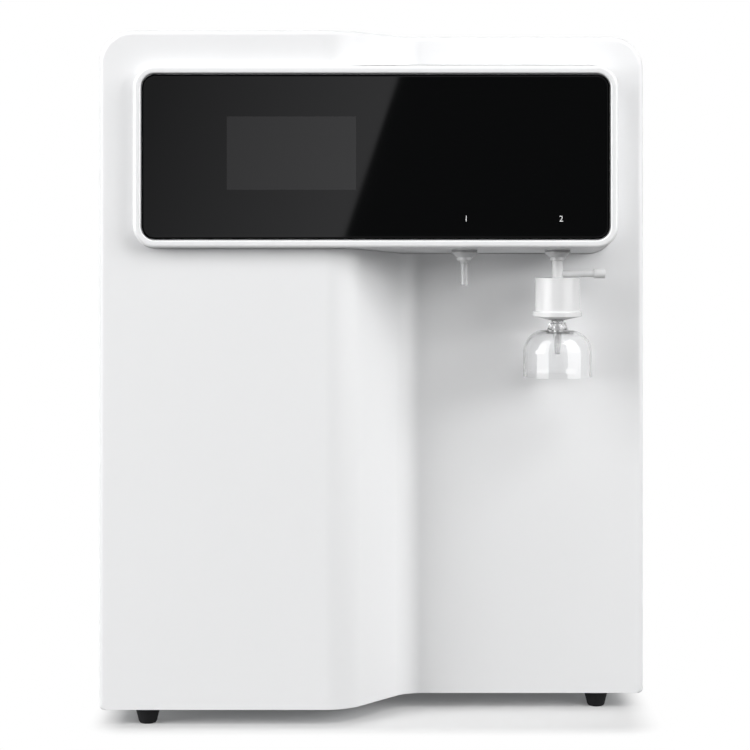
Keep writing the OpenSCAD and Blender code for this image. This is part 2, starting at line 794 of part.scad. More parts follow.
module pod_screws() color("silver") {
    for (p = pod_screw_places)
        translate([p[0], y_pod_back + back_t, p[1]]) rotate([-90, 0, 0]) screw(m3, 10);
}

// ---------------------------------------------------------------- outlets

nut_h = 5;
barb_r = 3.4;
z_stem_top = z_pad_top + nut_h + 3;

// Outlet body down from the seat: flange cone, step and the part that goes up through the pod's floor
outlet_cone_h = 3.8;
outlet_step_h = 2.7;
outlet_low_h = 3;
capsule_pipe_r = 2.7;   // pipe of outlet 2 inside the capsule's neck
module outlet_body(low_r, tip_r, tip_len, bore_r) {
    difference() {
        rotate_extrude() polygon([
            [0, z_stem_top + 12 - z_outlet], [barb_r, z_stem_top + 12 - z_outlet],
            [barb_r, z_stem_top - z_outlet], [stem_r, z_stem_top - z_outlet], [stem_r, 0],
            [flange_dia / 2, 0], [flange_dia / 2, -0.8], [6.8, -outlet_cone_h],
            [5.8, -outlet_cone_h], [5.8, -outlet_cone_h - outlet_step_h],
            [low_r, -outlet_cone_h - outlet_step_h],
            [tip_r, -outlet_cone_h - outlet_step_h - outlet_low_h], [tip_r, -tip_len], [0, -tip_len]
        ]);
        translate([0, 0, -tip_len - 1]) cylinder(h = 2 * tip_len + 60, r = bore_r);
    }
}

module outlet_1_fitting() color("lightgray") {
    translate([outlet_1_x, y_outlet, z_outlet]) outlet_body(3.9, nozzle_dia / 2, nozzle_len, 1.7);
}

module outlet_2_fitting() color("lightgray") {
    translate([outlet_2_x, y_outlet, z_outlet])
        outlet_body(capsule_pipe_r + skin, capsule_pipe_r, z_outlet - z_capsule - 3, 1.4);
}

// Nuts on the pod's floor and seals in their seats below it
module outlet_nuts() color("lightgray") {
    for (x = [outlet_1_x, outlet_2_x]) {
        translate([x, y_outlet, z_pad_top + fit]) difference() {
            cylinder(h = nut_h, r = 9.2, $fn = 6);
            translate([0, 0, -1]) cylinder(h = nut_h + 2, r = stem_r + fit);
        }
        difference() {
            rod_z(x, y_outlet, flange_dia / 2 - fit, z_outlet + fit, z_seat - fit);
            rod_z(x, y_outlet, stem_r + 0.1, z_outlet - 1, z_seat + 1);
        }
    }
}

// ---------------------------------------------------------------- capsule filter

capsule_wall = 1.6;

// Capsule shell: neck, body, weld flange, cone and spout, all one welded housing with its vent arm
module capsule_housing() color("white") {
    r = capsule_dia / 2;
    rim_r = capsule_rim_dia / 2;
    spout_r = spout_dia / 2;
    neck_r2 = neck_dia / 2;
    z_neck = z_outlet - outlet_cone_h - outlet_step_h - gap;
    translate([outlet_2_x, y_outlet, 0]) difference() {
        union() {
            rotate_extrude() polygon([
                [0, z_neck], [neck_r2, z_neck], [neck_r2, z_capsule],
                [r - 1, z_capsule], [r - 0.3, z_capsule - 0.3], [r, z_capsule - 1],
                [r, z_rim + 0.6], [rim_r, z_rim], [rim_r, z_rim - rim_h + 0.8],
                [rim_r - 0.8, z_rim - rim_h],
                [spout_r + 1, z_spout + 0.4], [spout_r, z_spout], [spout_r, z_spout - 3],
                [3.2, z_spout - 3], [3.2, z_bell - 3], [2, spout_tip], [0, spout_tip]
            ]);
            rod_x(0, z_vent, vent_dia / 2, 0, vent_reach + 4);
        }
        translate([0, 0, z_rim - rim_h + 1])
            cylinder(h = capsule_h + rim_h - 1 - capsule_wall, r = r - capsule_wall);
        translate([0, 0, z_capsule - 3]) cylinder(h = 30, r = capsule_pipe_r + fit);
        translate([0, 0, spout_tip - 1]) cylinder(h = 60, r = 1.1);
    }
}

// Pleated element between two end discs
pleats = 24;
module capsule_element() color("ivory") {
    r = capsule_dia / 2 - capsule_wall - 0.8;
    z0 = z_rim - rim_h + 1;
    translate([outlet_2_x, y_outlet, z0]) {
        cylinder(h = 2, r = r + 0.4);
        translate([0, 0, 2]) linear_extrude(capsule_h - 6) difference() {
            polygon([for (i = [0:2 * pleats - 1]) let (a = 180 * i / pleats, q = i % 2 == 0 ? r : r - 4)
                [q * cos(a), q * sin(a)]]);
            circle(r - 6);
        }
        translate([0, 0, capsule_h - 4]) cylinder(h = 2, r = r + 0.4);
    }
}

// Cap on the vent arm, with grip ribs
module vent_cap() color("white") {
    r = vent_dia / 2 + 0.9;
    x0 = outlet_2_x + vent_reach;
    difference() {
        union() {
            rod_x(y_outlet, z_vent, r, x0, x0 + vent_cap_len);
            for (i = [0:9]) let (a = 36 * i)
                rod_x(y_outlet + (r - 0.1) * cos(a), z_vent + (r - 0.1) * sin(a), 0.45,
                    x0 + 1, x0 + vent_cap_len - 1);
        }
        rod_x(y_outlet, z_vent, vent_dia / 2 + fit, x0 - 1, x0 + vent_cap_len - 1.5);
    }
}

// Clear bell over the spout, open below, with a conical hub that grips the spout
module clear_bell() color("#e8eef2", 0.35) {
    r = bell_dia / 2;
    shoulder_z = 17;
    shoulder_x = 15.3;
    z_low = z_bell - bell_h;
    flat_r = r - shoulder_x;
    hub_r = 7.8;
    z_hub = z_spout - 1.4;
    z_side = z_bell - shoulder_z;
    outer = [for (t = [0:10:90]) [flat_r + shoulder_x * cos(t), z_side + shoulder_z * sin(t)]];
    inner = [for (t = [90:-10:0])
        [flat_r + (shoulder_x - bell_wall) * cos(t), z_side + (shoulder_z - bell_wall) * sin(t)]];
    translate([outlet_2_x, y_outlet, 0]) rotate_extrude() polygon(concat(
        [[r, z_low]], outer,
        [[hub_r, z_bell + 0.4], [spout_dia / 2 + 1.5, z_hub], [spout_dia / 2 + 0.1, z_hub],
            [spout_dia / 2 + 0.1, z_spout - 3 - gap], [3.2 + 0.1, z_spout - 3 - gap]],
        [[3.2 + 0.1, z_bell - bell_wall]], inner, [[r - bell_wall, z_low]]
    ));
}

// ---------------------------------------------------------------- chassis

foot_flange = 16;

module middle_wall() color("silver") {
    difference() {
        union() {
            block(wall_x, wall_x + wall_t, wall_y0, wall_y1, z_floor, wall_top);
            block(wall_x, wall_x + foot_flange, wall_y0, wall_y1, z_floor, z_floor + wall_t);
        }
        for (y = [wall_y0 + 60, wall_y1 - 60])
            translate([0, y, shelf_z - 60]) along_x(wall_x - 1, wall_x + wall_t + 1) round_rect(30, 40, 8);
    }
}

// Shelf with a folded edge on the middle wall and a leg down to the floor
module shelf() color("silver") {
    x0 = wall_x + wall_t;
    y0 = wall_y0 + 5;
    y1 = wall_y1 - 5;
    difference() {
        union() {
            block(x0, shelf_x1, y0, y1, shelf_z, shelf_z + shelf_t);
            block(x0, x0 + shelf_t, y0, y1, shelf_z, shelf_z + foot_flange);
            block(shelf_x1 - shelf_t, shelf_x1, y0, y1, z_floor, shelf_z + shelf_t);
            block(shelf_x1 - foot_flange, shelf_x1, y0, y1, z_floor, z_floor + shelf_t);
        }
        for (y = [y0 + 70, y1 - 70])
            translate([0, y, 140]) along_x(shelf_x1 - 5, shelf_x1 + 5) round_rect(90, 150, 12);
        for (i = [0:5])
            translate([x0 + 130 + 12 * i, (y0 + y1) / 2, shelf_z - 1])
                linear_extrude(shelf_t + 2) round_rect(4, 80, 1.9);
    }
}

// ---------------------------------------------------------------- cartridges

cart_places = [for (i = [0:2]) cart_y0 + i * cart_pitch];

// Heads on the middle wall: a socket with a groove for the cartridge's lugs, and two ports on top
module cartridge_heads() color("white") {
    r = head_dia / 2;
    for (y = cart_places) difference() {
        union() {
            rod_z(cart_x, y, r, head_z, head_z + head_h);
            block(cart_x, wall_x, y - 30, y + 30, head_z, head_z + head_h);
            for (s = [-1, 1])
                rod_z(cart_x, y + s * head_port, 7, head_z + head_h - 1, head_z + head_h + 12);
        }
        rod_z(cart_x, y, neck_r + gap, head_z - 1, head_z + 26);
        rod_z(cart_x, y, lug_r + gap, z_lug - gap, z_lug + lug_h + gap);
        for (a = [0, 180]) translate([cart_x, y, head_z - 1]) rotate([0, 0, a])
            linear_extrude(z_lug - head_z + 1.5) lug_outline(gap + 0.2);
        for (s = [-1, 1])
            rod_z(cart_x, y + s * head_port, tube_r + fit, head_z + head_h - 2, head_z + head_h + 13);
    }
}

// One lug as seen from above, along X
module lug_outline(grow) {
    intersection() {
        circle(lug_r + grow);
        translate([neck_r - 3, -6 - grow]) square([10, 12 + 2 * grow]);
    }
}

// A cartridge: domed ends, ribs around its shoulder, a neck with two seal grooves and two lugs
module cartridge(i) {
    y = cart_places[i];
    z0 = z_cart_top - cart_len;
    translate([cart_x, y, 0]) difference() {
        union() {
            rotate_extrude() polygon([
                [0, z0], [cart_r - 16, z0], [cart_r - 8, z0 + 2.5], [cart_r - 2.5, z0 + 8], [cart_r, z0 + 16],
                [cart_r, z_cart_top - 16], [cart_r - 2.5, z_cart_top - 8], [cart_r - 8, z_cart_top - 2.5],
                [cart_r - 14, z_cart_top], [neck_r, z_cart_top], [neck_r, head_z + 16],
                [neck_r - 2, head_z + 16], [neck_r - 2, head_z + 18.5], [neck_r, head_z + 18.5],
                [neck_r, head_z + 21], [neck_r - 1, head_z + 22], [0, head_z + 22]
            ]);
            for (a = [90, 270])
                rotate([0, 0, a]) translate([0, 0, z_lug]) linear_extrude(lug_h) lug_outline(0);
            // Grip wings at the foot
            for (a = [0, 90]) rotate([0, 0, a + 45])
                block(-18, 18, -3, 3, z0 - 8, z0 + 1);
        }
        translate([0, 0, head_z + 10]) cylinder(h = 20, r = 6);
    }
}

module pretreatment_cartridge() color("white") cartridge(0);
module reverse_osmosis_cartridge() color("aliceblue") cartridge(1);
module polishing_cartridge() color("lavender") cartridge(2);

// ---------------------------------------------------------------- pumps

pump_mount_h = 12;
pump_plate_t = 2;

// Place of a pump: the motor's middle in X, front of its head in Y, motor radius, lengths
bracket_out = 10;       // how far a bracket reaches past its motor
booster_r = 32;
circulation_r = 24;
booster_x = shelf_x1 - foot_flange - 9.2 - bracket_out - booster_r;
circulation_x = wall_x + 102;
booster = [booster_x, wall_y0 + 40, booster_r, 95, 62];
circulation = [circulation_x, wall_y0 + 60, circulation_r, 70, 46];
function pump_axis_z(p) = z_floor + pump_mount_h + pump_plate_t + 6 + p[2];
function pump_mount_places(p) = [for (sx = [-1, 1], sy = [0, 1])
    [p[0] + sx * (p[2] + 2), p[1] + 12 + sy * (p[3] + p[4] - 36)]];

module pump_motor(p) {
    z = pump_axis_z(p);
    y1 = p[1] + p[4];
    rod_y(p[0], z, p[2], y1, y1 + p[3]);
    rod_y(p[0], z, p[2] * 0.35, y1 + p[3] - 1, y1 + p[3] + 5);
    for (s = [-1, 1]) rod_y(p[0] + s * p[2] * 0.6, z, 1.5, y1 + p[3] - 1, y1 + p[3] + 7);
}

// Diaphragm head: round body, cover with three bosses and two side ports
module pump_head(p) {
    z = pump_axis_z(p);
    r = p[2];
    rod_y(p[0], z, r, p[1] + 8, p[1] + p[4]);
    translate([p[0], 0, z]) along_y(p[1], p[1] + 8) round_rect(1.8 * r, 1.8 * r, 6);
    for (s = [-1, 1]) rod_x(p[1] + 22, z, 7, s < 0 ? p[0] - r - 12 : p[0], s < 0 ? p[0] : p[0] + r + 12);
    for (a = [45:90:315]) rod_y(p[0] + 0.72 * r * cos(a), z + 0.72 * r * sin(a), 3, p[1] - 2, p[1] + 1);
}

// Plate with two saddles that carry the motor
module pump_bracket(p) {
    z0 = z_floor + pump_mount_h;
    z = pump_axis_z(p);
    difference() {
        union() {
            block(p[0] - p[2] - bracket_out, p[0] + p[2] + bracket_out, p[1] + 2, p[1] + p[3] + p[4] - 14,
                z0, z0 + pump_plate_t);
            for (y = [p[1] + p[4] + 8, p[1] + p[4] + p[3] - 24])
                block(p[0] - p[2] * 0.75, p[0] + p[2] * 0.75, y, y + 6, z0, z0 + 6 + p[2] * 0.5);
        }
        rod_y(p[0], z, p[2] + 0.1, p[1], p[1] + p[3] + p[4]);
        for (m = pump_mount_places(p)) rod_z(m[0], m[1], m4 + fit, z0 - 1, z0 + pump_plate_t + 1);
    }
}

module pump_mounts(p) {
    for (m = pump_mount_places(p)) {
        rod_z(m[0], m[1], 7, z_floor, z_floor + pump_mount_h);
        rod_z(m[0], m[1], m4, z_floor + pump_mount_h - 1, z_floor + pump_mount_h + pump_plate_t + 2);
    }
}

module booster_motor() color("dimgray") pump_motor(booster);
module booster_head() color("#222222") pump_head(booster);
module booster_bracket() color("silver") pump_bracket(booster);
module booster_mounts() color("#181818") pump_mounts(booster);
module circulation_motor() color("dimgray") pump_motor(circulation);
module circulation_head() color("#222222") pump_head(circulation);
module circulation_bracket() color("silver") pump_bracket(circulation);
module circulation_mounts() color("#181818") pump_mounts(circulation);

// ---------------------------------------------------------------- ultraviolet chamber

uv_x = wall_x + wall_t + 34;
uv_z = 200;
uv_r = 25;
uv_y0 = wall_y0 + 30;
uv_len = 230;
uv_cap = 14;
uv_wall = 1.5;
uv_lamp_r = 8;
uv_port_in = 30;        // from the chamber's ends
uv_clamp_in = 60;
uv_clamp_w = 15;
uv_clamp_h = 24;

uv_port_y = [uv_y0 + uv_port_in, uv_y0 + uv_len - uv_port_in];

module uv_chamber() color("lightgray") {
    difference() {
        union() {
            rod_y(uv_x, uv_z, uv_r, uv_y0, uv_y0 + uv_len);
            for (y = uv_port_y) rod_z(uv_x, y, 6, uv_z, uv_z + uv_r + 14);
        }
        rod_y(uv_x, uv_z, uv_r - uv_wall, uv_y0 - 1, uv_y0 + uv_len + 1);
        for (y = uv_port_y) rod_z(uv_x, y, 4, uv_z, uv_z + uv_r + 15);
    }
}

module uv_end_caps() color("#262626") {
    for (s = [0, 1]) {
        y0 = s == 0 ? uv_y0 - uv_cap + 6 : uv_y0 + uv_len - 6;
        ring = s == 0 ? uv_y0 - uv_cap + 6 : uv_y0 + uv_len;
        difference() {
            union() {
                rod_y(uv_x, uv_z, uv_r - uv_wall - fit, y0, y0 + uv_cap);
                rod_y(uv_x, uv_z, uv_r + 3, ring, ring + uv_cap - 6);
            }
            rod_y(uv_x, uv_z, uv_lamp_r + fit, y0 - 1, y0 + uv_cap + 1);
        }
    }
}

module uv_lamp() color("white") {
    rod_y(uv_x, uv_z, uv_lamp_r, uv_y0 - uv_cap - 4, uv_y0 + uv_len + uv_cap + 4);
}

module uv_clamps() color("silver") {
    for (y = [uv_y0 + uv_clamp_in, uv_y0 + uv_len - uv_clamp_in - uv_clamp_w]) difference() {
        union() {
            rod_y(uv_x, uv_z, uv_r + 3, y, y + uv_clamp_w);
            block(wall_x + wall_t, uv_x, y, y + uv_clamp_w, uv_z - uv_clamp_h / 2, uv_z + uv_clamp_h / 2);
        }
        rod_y(uv_x, uv_z, uv_r + 0.1, y - 1, y + uv_clamp_w + 1);
    }
}

// ---------------------------------------------------------------- valves and sensor

valve_pitch = 60;
valve_y = [for (i = [1:3]) wall_y0 + i * valve_pitch];
valve_w = 28;
valve_h = 20;
valve_z = 110;
valve_port_r = 6;
valve_port_out = 10;
coil_r = 12;
coil_h = 22;
hose_seat = 8;          // depth of a tube in a port

// The valves, the cells and the flow sensor share one water line along the middle wall
line_x = wall_x + wall_t + valve_w / 2;
line_z = valve_z + valve_h / 2;
flow_y = wall_y1 - 50;
flow_half = 12;
flow_port_out = 14;
cell_pitch = 13;
cell_w = 26;
cell_y = (valve_y[2] + valve_w / 2 + valve_port_out + flow_y - flow_half - flow_port_out) / 2;

// Solenoid valves on the middle wall: body with two ports, coil above on its core tube
module solenoid_valves() color("dimgray") {
    for (y = valve_y) difference() {
        union() {
            block(line_x - valve_w / 2, line_x + valve_w / 2, y - valve_w / 2, y + valve_w / 2,
                valve_z, valve_z + valve_h);
            rod_y(line_x, line_z, valve_port_r, y - valve_w / 2 - valve_port_out,
                y + valve_w / 2 + valve_port_out);
            rod_z(line_x, y, 5, valve_z + valve_h - 1, valve_z + valve_h + 8 + coil_h);
            rod_z(line_x, y, coil_r, valve_z + valve_h + 4, valve_z + valve_h + 4 + coil_h);
        }
        for (s = [-1, 1]) hose_bore(y + s * (valve_w / 2 + valve_port_out), s);
    }
}

// Bore of a port on the water line for the end of a tube, from its mouth inwards
module hose_bore(mouth, side) {
    rod_y(line_x, line_z, tube_r + fit, side < 0 ? mouth - 1 : mouth - hose_seat,
        side < 0 ? mouth + hose_seat : mouth + 1);
}

// Flow sensor, and the block with both conductivity cells before it
module flow_sensor() color("#2b2b2b") {
    x0 = wall_x + wall_t;
    difference() {
        union() {
            block(x0, x0 + 8, flow_y - flow_half, flow_y + flow_half, line_z - 12, line_z + 12);
            rod_x(flow_y, line_z, 14, x0 + 7, x0 + 26);
            rod_y(line_x, line_z, 5.5,
                flow_y - flow_half - flow_port_out, flow_y + flow_half + flow_port_out);
        }
        for (s = [-1, 1])
            hose_bore(flow_y + s * (flow_half + flow_port_out), s);
    }
    difference() {
        union() {
            block(x0, x0 + valve_w, cell_y - cell_w / 2, cell_y + cell_w / 2, valve_z, valve_z + valve_h);
            for (s = [-1, 1]) {
                rod_z(line_x, cell_y + s * cell_pitch / 2, 5, valve_z + valve_h - 1, valve_z + valve_h + 20);
                translate([line_x, cell_y + s * cell_pitch / 2, valve_z + valve_h - 1])
                    cylinder(h = 6, r = 6, $fn = 6);
            }
        }
        for (s = [-1, 1]) hose_bore(cell_y + s * cell_w / 2, s);
    }
}

// ---------------------------------------------------------------- electrics

z_shelf = shelf_z + shelf_t;
psu_side = 12.2;        // from the shelf's right edge
psu_w = 108;
psu_len = 190;
psu_h = 46;
psu = [shelf_x1 - psu_side - psu_w, wall_y0 + 80, psu_w, psu_len, psu_h];
board_side = 22;        // from the middle wall
board_gap = 15;         // between the board and the power supply
board_len = 190;
board_x = wall_x + board_side;
board = [board_x, wall_y0 + 60, psu[0] - board_gap - board_x, board_len];
standoff_h = 10;
board_t = 1.6;
chip_w = 24;
capacitor_in = 40;      // from the board's right edge
relay_in = 70;
relay_w = 18;
board_holes = [for (sx = [0, 1], sy = [0, 1])
    [board[0] + 6 + sx * (board[2] - 12), board[1] + 6 + sy * (board[3] - 12)]];

// Caged power supply with a perforated lid
module power_supply() color("silver") {
    difference() {
        block(psu[0], psu[0] + psu[2], psu[1], psu[1] + psu[3], z_shelf, z_shelf + psu[4]);
        block(psu[0] + 1, psu[0] + psu[2] - 1, psu[1] + 1, psu[1] + psu[3] - 1,
            z_shelf + 1, z_shelf + psu[4] - 1);
        for (i = [0:7], j = [0:11])
            rod_z(psu[0] + 19 + 10 * i, psu[1] + 40 + 10 * j, 3, z_shelf + psu[4] - 2, z_shelf + psu[4] + 1);
    }
}

// Control board with its larger components and connectors
module control_board() color("darkgreen") {
    z = z_shelf + standoff_h;
    difference() {
        union() {
            block(board[0], board[0] + board[2], board[1], board[1] + board[3], z, z + board_t);
            translate([board[0] + 20, board[1] + 90, z]) cube([chip_w, chip_w, 4]);
            for (i = [0:5])
                translate([board[0] + 8, board[1] + 20 + 22 * i, z]) cube([12, 16, 12]);
            for (i = [0:3])
                rod_z(board[0] + board[2] - capacitor_in, board[1] + 30 + 20 * i, 6, z, z + 18);
            for (i = [0:2])
                translate([board[0] + board[2] - relay_in, board[1] + 120 + 20 * i, z])
                    cube([relay_w, 14, 15]);
        }
        for (p = board_holes) rod_z(p[0], p[1], m3 + fit, z - 1, z + 20);
    }
}

module board_standoffs() color("goldenrod") {
    for (p = board_holes) translate([p[0], p[1], z_shelf]) {
        cylinder(h = standoff_h, r = 3, $fn = 6);
        cylinder(h = standoff_h + board_t + 2, r = m3);
    }
}

// ---------------------------------------------------------------- rear fittings

port_thread_r = 7;
port_nose_r = 9;
port_flange_t = 3;
collet_r = 4.8;
collet_ring = 2.2;
y_nose = y_rear + port_out - collet_ring - collet_travel - gap;

// Bulkhead bodies with their nuts: flange outside, thread through the panel, elbowless tail inside
module port_bodies() color("gainsboro") {
    for (x = port_x) difference() {
        union() {
            rod_y(x, port_z, 11, y_rear, y_rear + port_flange_t);
            rod_y(x, port_z, port_nose_r, y_rear, y_nose);
            rod_y(x, port_z, port_thread_r, y_panel - 16, y_rear + 1);
            translate([x, y_panel - 6, port_z]) rotate([-90, 0, 0]) cylinder(h = 6, r = 11, $fn = 6);
        }
        rod_y(x, port_z, port_bore_r, y_panel - 2, y_nose + 1);
        rod_y(x, port_z, 2, y_panel - 18, y_nose);
        rod_y(x, port_z, tube_r + fit, y_panel - 17, y_panel - 8);
        rod_y(x, port_z, collet_r + gap, y_nose - 8, y_nose + 1);
    }
}

module collet(x) {
    difference() {
        union() {
            rod_y(x, port_z, collet_r, y_nose - 8 + collet_travel + gap, y_nose + collet_travel + gap + 0.5);
            rod_y(x, port_z, 6.5, y_nose + collet_travel + gap, y_rear + port_out);
        }
        rod_y(x, port_z, port_bore_r + fit, y_nose - 9, y_rear + port_out + 1);
    }
}

module feed_collet() color("steelblue") collet(port_x[0]);
module reject_collet() color("firebrick") collet(port_x[1]);
module tank_collet() color("dimgray") collet(port_x[2]);

inlet_w = 27;
inlet_h = 36;
inlet_flange = 2.5;
inlet_body_d = 24;
socket_w = 24.5;
socket_h = 16.5;
socket_d = 16;
socket_z = inlet_z + 6;
drawer_w = 22;
drawer_h = 7;
drawer_z = inlet_z - 11;
drawer_d = 18;

// Appliance inlet: flange, body through the panel, socket with two cut corners and a slot for the fuse drawer
module power_inlet() color("#151515") {
    c = 5;
    difference() {
        union() {
            translate([inlet_x, 0, inlet_z]) along_y(y_rear, y_rear + inlet_flange)
                round_rect(inlet_w + 8, inlet_h + 8, 3);
            block(inlet_x - inlet_w / 2, inlet_x + inlet_w / 2, y_rear - inlet_body_d, y_rear + 1,
                inlet_z - inlet_h / 2, inlet_z + inlet_h / 2);
        }
        translate([inlet_x, 0, socket_z]) along_y(y_rear + inlet_flange - socket_d, y_rear + inlet_flange + 1)
            polygon([
                [-socket_w / 2, -socket_h / 2], [socket_w / 2, -socket_h / 2],
                [socket_w / 2, socket_h / 2 - c], [socket_w / 2 - c, socket_h / 2],
                [-socket_w / 2 + c, socket_h / 2], [-socket_w / 2, socket_h / 2 - c]
            ]);
        block(inlet_x - drawer_w / 2 - 0.2, inlet_x + drawer_w / 2 + 0.2,
            y_rear + inlet_flange - drawer_d - 0.5, y_rear + inlet_flange + 1,
            drawer_z - drawer_h / 2 - 0.2, drawer_z + drawer_h / 2 + 0.2);
        for (p = pin_places)
            block(p[0] - 1 - fit, p[0] + 1 + fit, y_rear - inlet_body_d - 1, y_rear,
                p[1] - 2 - fit, p[1] + 2 + fit);
    }
}

pin_places = [[inlet_x - 7, socket_z - 2], [inlet_x + 7, socket_z - 2], [inlet_x, socket_z + 2]];

module inlet_pins() color("silver") {
    for (p = pin_places)
        block(p[0] - 1, p[0] + 1, y_rear - inlet_body_d - 8, y_rear - 1, p[1] - 2, p[1] + 2);
}

module fuse_drawer() color("#1c1c1c") {
    y1 = y_rear + inlet_flange;
    difference() {
        union() {
            block(inlet_x - drawer_w / 2, inlet_x + drawer_w / 2, y1 - drawer_d, y1 + 0.8,
                drawer_z - drawer_h / 2, drawer_z + drawer_h / 2);
            block(inlet_x - 3, inlet_x + 3, y1, y1 + 2, drawer_z - 1.5, drawer_z + 1.5);
        }
        block(inlet_x - drawer_w / 2 + 1.5, inlet_x + drawer_w / 2 - 1.5, y1 - drawer_d + 1.5, y1 - 3,
            drawer_z - drawer_h / 2 + 1, drawer_z + drawer_h);
    }
}

switch_w = 13;
switch_h = 19;
rocker_w = 9;
rocker_h = 15;
rocker_pin = 1.5;
rocker_tilt = 9;
y_rocker = y_rear - 1.5;

module switch_body() color("#151515") {
    difference() {
        union() {
            translate([inlet_x, 0, switch_z]) along_y(y_rear, y_rear + 2)
                round_rect(switch_w + 2.5, switch_h + 2.5, 1.5);
            block(inlet_x - switch_w / 2, inlet_x + switch_w / 2, y_rear - 16, y_rear + 1,
                switch_z - switch_h / 2, switch_z + switch_h / 2);
        }
        block(inlet_x - rocker_w / 2 - 0.2, inlet_x + rocker_w / 2 + 0.2, y_rear - 8, y_rear + 3,
            switch_z - rocker_h / 2 - 0.6, switch_z + rocker_h / 2 + 0.6);
        rod_x(y_rocker, switch_z, rocker_pin + fit,
            inlet_x - rocker_w / 2 - 1.2, inlet_x + rocker_w / 2 + 1.2);
    }
}

// Rocker with two faces that meet in a shallow valley, tilted to its off side
module switch_rocker() color("#101010") {
    h = rocker_h / 2;
    translate([inlet_x, y_rocker, switch_z]) rotate([rocker_tilt, 0, 0]) {
        along_x(-rocker_w / 2, rocker_w / 2) polygon([
            [4.6, -h + 0.3], [2.9, 0], [4.6, h - 0.3], [1.5, h - 0.6],
            [-2.5, 3], [-3, 0], [-2.5, -3], [1.5, -h + 0.6]
        ]);
        rotate([0, 90, 0]) cylinder(h = rocker_w + 2, r = rocker_pin, center = true);
    }
}

// ---------------------------------------------------------------- water tubes

// Feed: from its port up behind the cartridges into the first head's rear port
module feed_tube() color("aliceblue") {
    y = cart_places[2] + head_port;
    y_up = y_panel - 30;
    z_over = head_z + head_h + 34;
    tube([
        [port_x[0], y_panel - 10, port_z], [port_x[0], y_up, port_z], [port_x[0], y_up, z_over],
        [port_x[0], y, z_over], [port_x[0], y, head_z + head_h]
    ], 12);
}

// Links between the heads, each an arch from one head's front port to the next one's rear port,
// and the short links along the water line
module inner_tubes() color("aliceblue") {
    z_in = head_z + head_h;
    z_arch = z_in + 34;
    for (i = [0, 1]) {
        y0 = cart_places[i] + head_port;
        y1 = cart_places[i + 1] - head_port;
        tube([[cart_x, y0, z_in], [cart_x, y0, z_arch], [cart_x, y1, z_arch], [cart_x, y1, z_in]], 12);
    }
    end = valve_w / 2 + valve_port_out - hose_seat + gap;
    link(valve_y[0] + end, valve_y[1] - end);
    link(valve_y[1] + end, valve_y[2] - end);
    link(valve_y[2] + end, cell_y - cell_w / 2 + hose_seat - gap);
    link(cell_y + cell_w / 2 - hose_seat + gap, flow_y - flow_half - flow_port_out + hose_seat - gap);
}

module link(y0, y1) {
    translate([line_x, y0, line_z]) rotate([-90, 0, 0]) linear_extrude(y1 - y0) tube_section();
}

// ---------------------------------------------------------------- parts

front_cover();
casing_wrap();
rear_panel();
base_plate();
feet();
foot_screws();
casing_screws();
rear_screws();
service_door();
door_hinges();
door_magnets();
display_housing();
display_bezel();
front_glass();
glass_gasket();
display_module();
touch_sensor();
display_back();
pod_screws();
outlet_1_fitting();
outlet_2_fitting();
outlet_nuts();
capsule_housing();
capsule_element();
vent_cap();
clear_bell();
middle_wall();
shelf();
cartridge_heads();
pretreatment_cartridge();
reverse_osmosis_cartridge();
polishing_cartridge();
booster_motor();
booster_head();
booster_bracket();
booster_mounts();
circulation_motor();
circulation_head();
circulation_bracket();
circulation_mounts();
uv_chamber();
uv_end_caps();
uv_lamp();
uv_clamps();
solenoid_valves();
flow_sensor();
power_supply();
control_board();
board_standoffs();
power_inlet();
inlet_pins();
fuse_drawer();
switch_body();
switch_rocker();
port_bodies();
feed_collet();
reject_collet();
tank_collet();
feed_tube();
inner_tubes();
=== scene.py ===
import math

import bmesh
import bpy
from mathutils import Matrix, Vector


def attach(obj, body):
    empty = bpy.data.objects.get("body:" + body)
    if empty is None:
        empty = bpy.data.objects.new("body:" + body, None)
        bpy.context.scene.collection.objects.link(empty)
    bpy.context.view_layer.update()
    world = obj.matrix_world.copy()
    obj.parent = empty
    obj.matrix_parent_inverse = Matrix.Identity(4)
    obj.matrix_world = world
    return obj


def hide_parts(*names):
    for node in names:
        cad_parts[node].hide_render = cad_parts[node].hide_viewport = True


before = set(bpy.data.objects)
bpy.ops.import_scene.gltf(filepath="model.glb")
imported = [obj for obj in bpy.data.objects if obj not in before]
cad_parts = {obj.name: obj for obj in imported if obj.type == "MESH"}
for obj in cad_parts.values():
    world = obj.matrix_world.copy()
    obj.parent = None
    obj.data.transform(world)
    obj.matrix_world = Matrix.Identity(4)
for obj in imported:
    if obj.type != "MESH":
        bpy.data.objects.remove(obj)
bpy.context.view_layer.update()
mm = 0.001

# ---------------------------------------------------------------- studio
# A level camera on the middle line, a white floor, and large soft lamps far out on both sides and
# behind, as in a plain packshot. The lamps give the shading alone, and shiny pieces mirror the
# cards instead.
def placed(name, data):
    """An object that shows a mesh, a lamp or a camera in the scene."""
    made = bpy.data.objects.new(name, data)
    bpy.context.scene.collection.objects.link(made)
    return made


camera_data = bpy.data.cameras.new("camera")
camera_data.sensor_width = 36
camera_data.lens = 90.9
camera_data.shift_x = -0.001
camera_data.shift_y = -0.2093
camera = placed("camera", camera_data)
camera.location = (0, -1.626, 0.376)
camera.rotation_euler = (math.radians(90), 0, 0)
bpy.context.scene.camera = camera
bpy.context.scene.view_settings.view_transform = "Standard"


def direction(turn, rise):
    """The way out from the object, by degrees to the right of the camera and above the bench."""
    across, up = math.radians(turn), math.radians(rise)
    return Vector((math.sin(across) * math.cos(up), -math.cos(across) * math.cos(up), math.sin(up)))


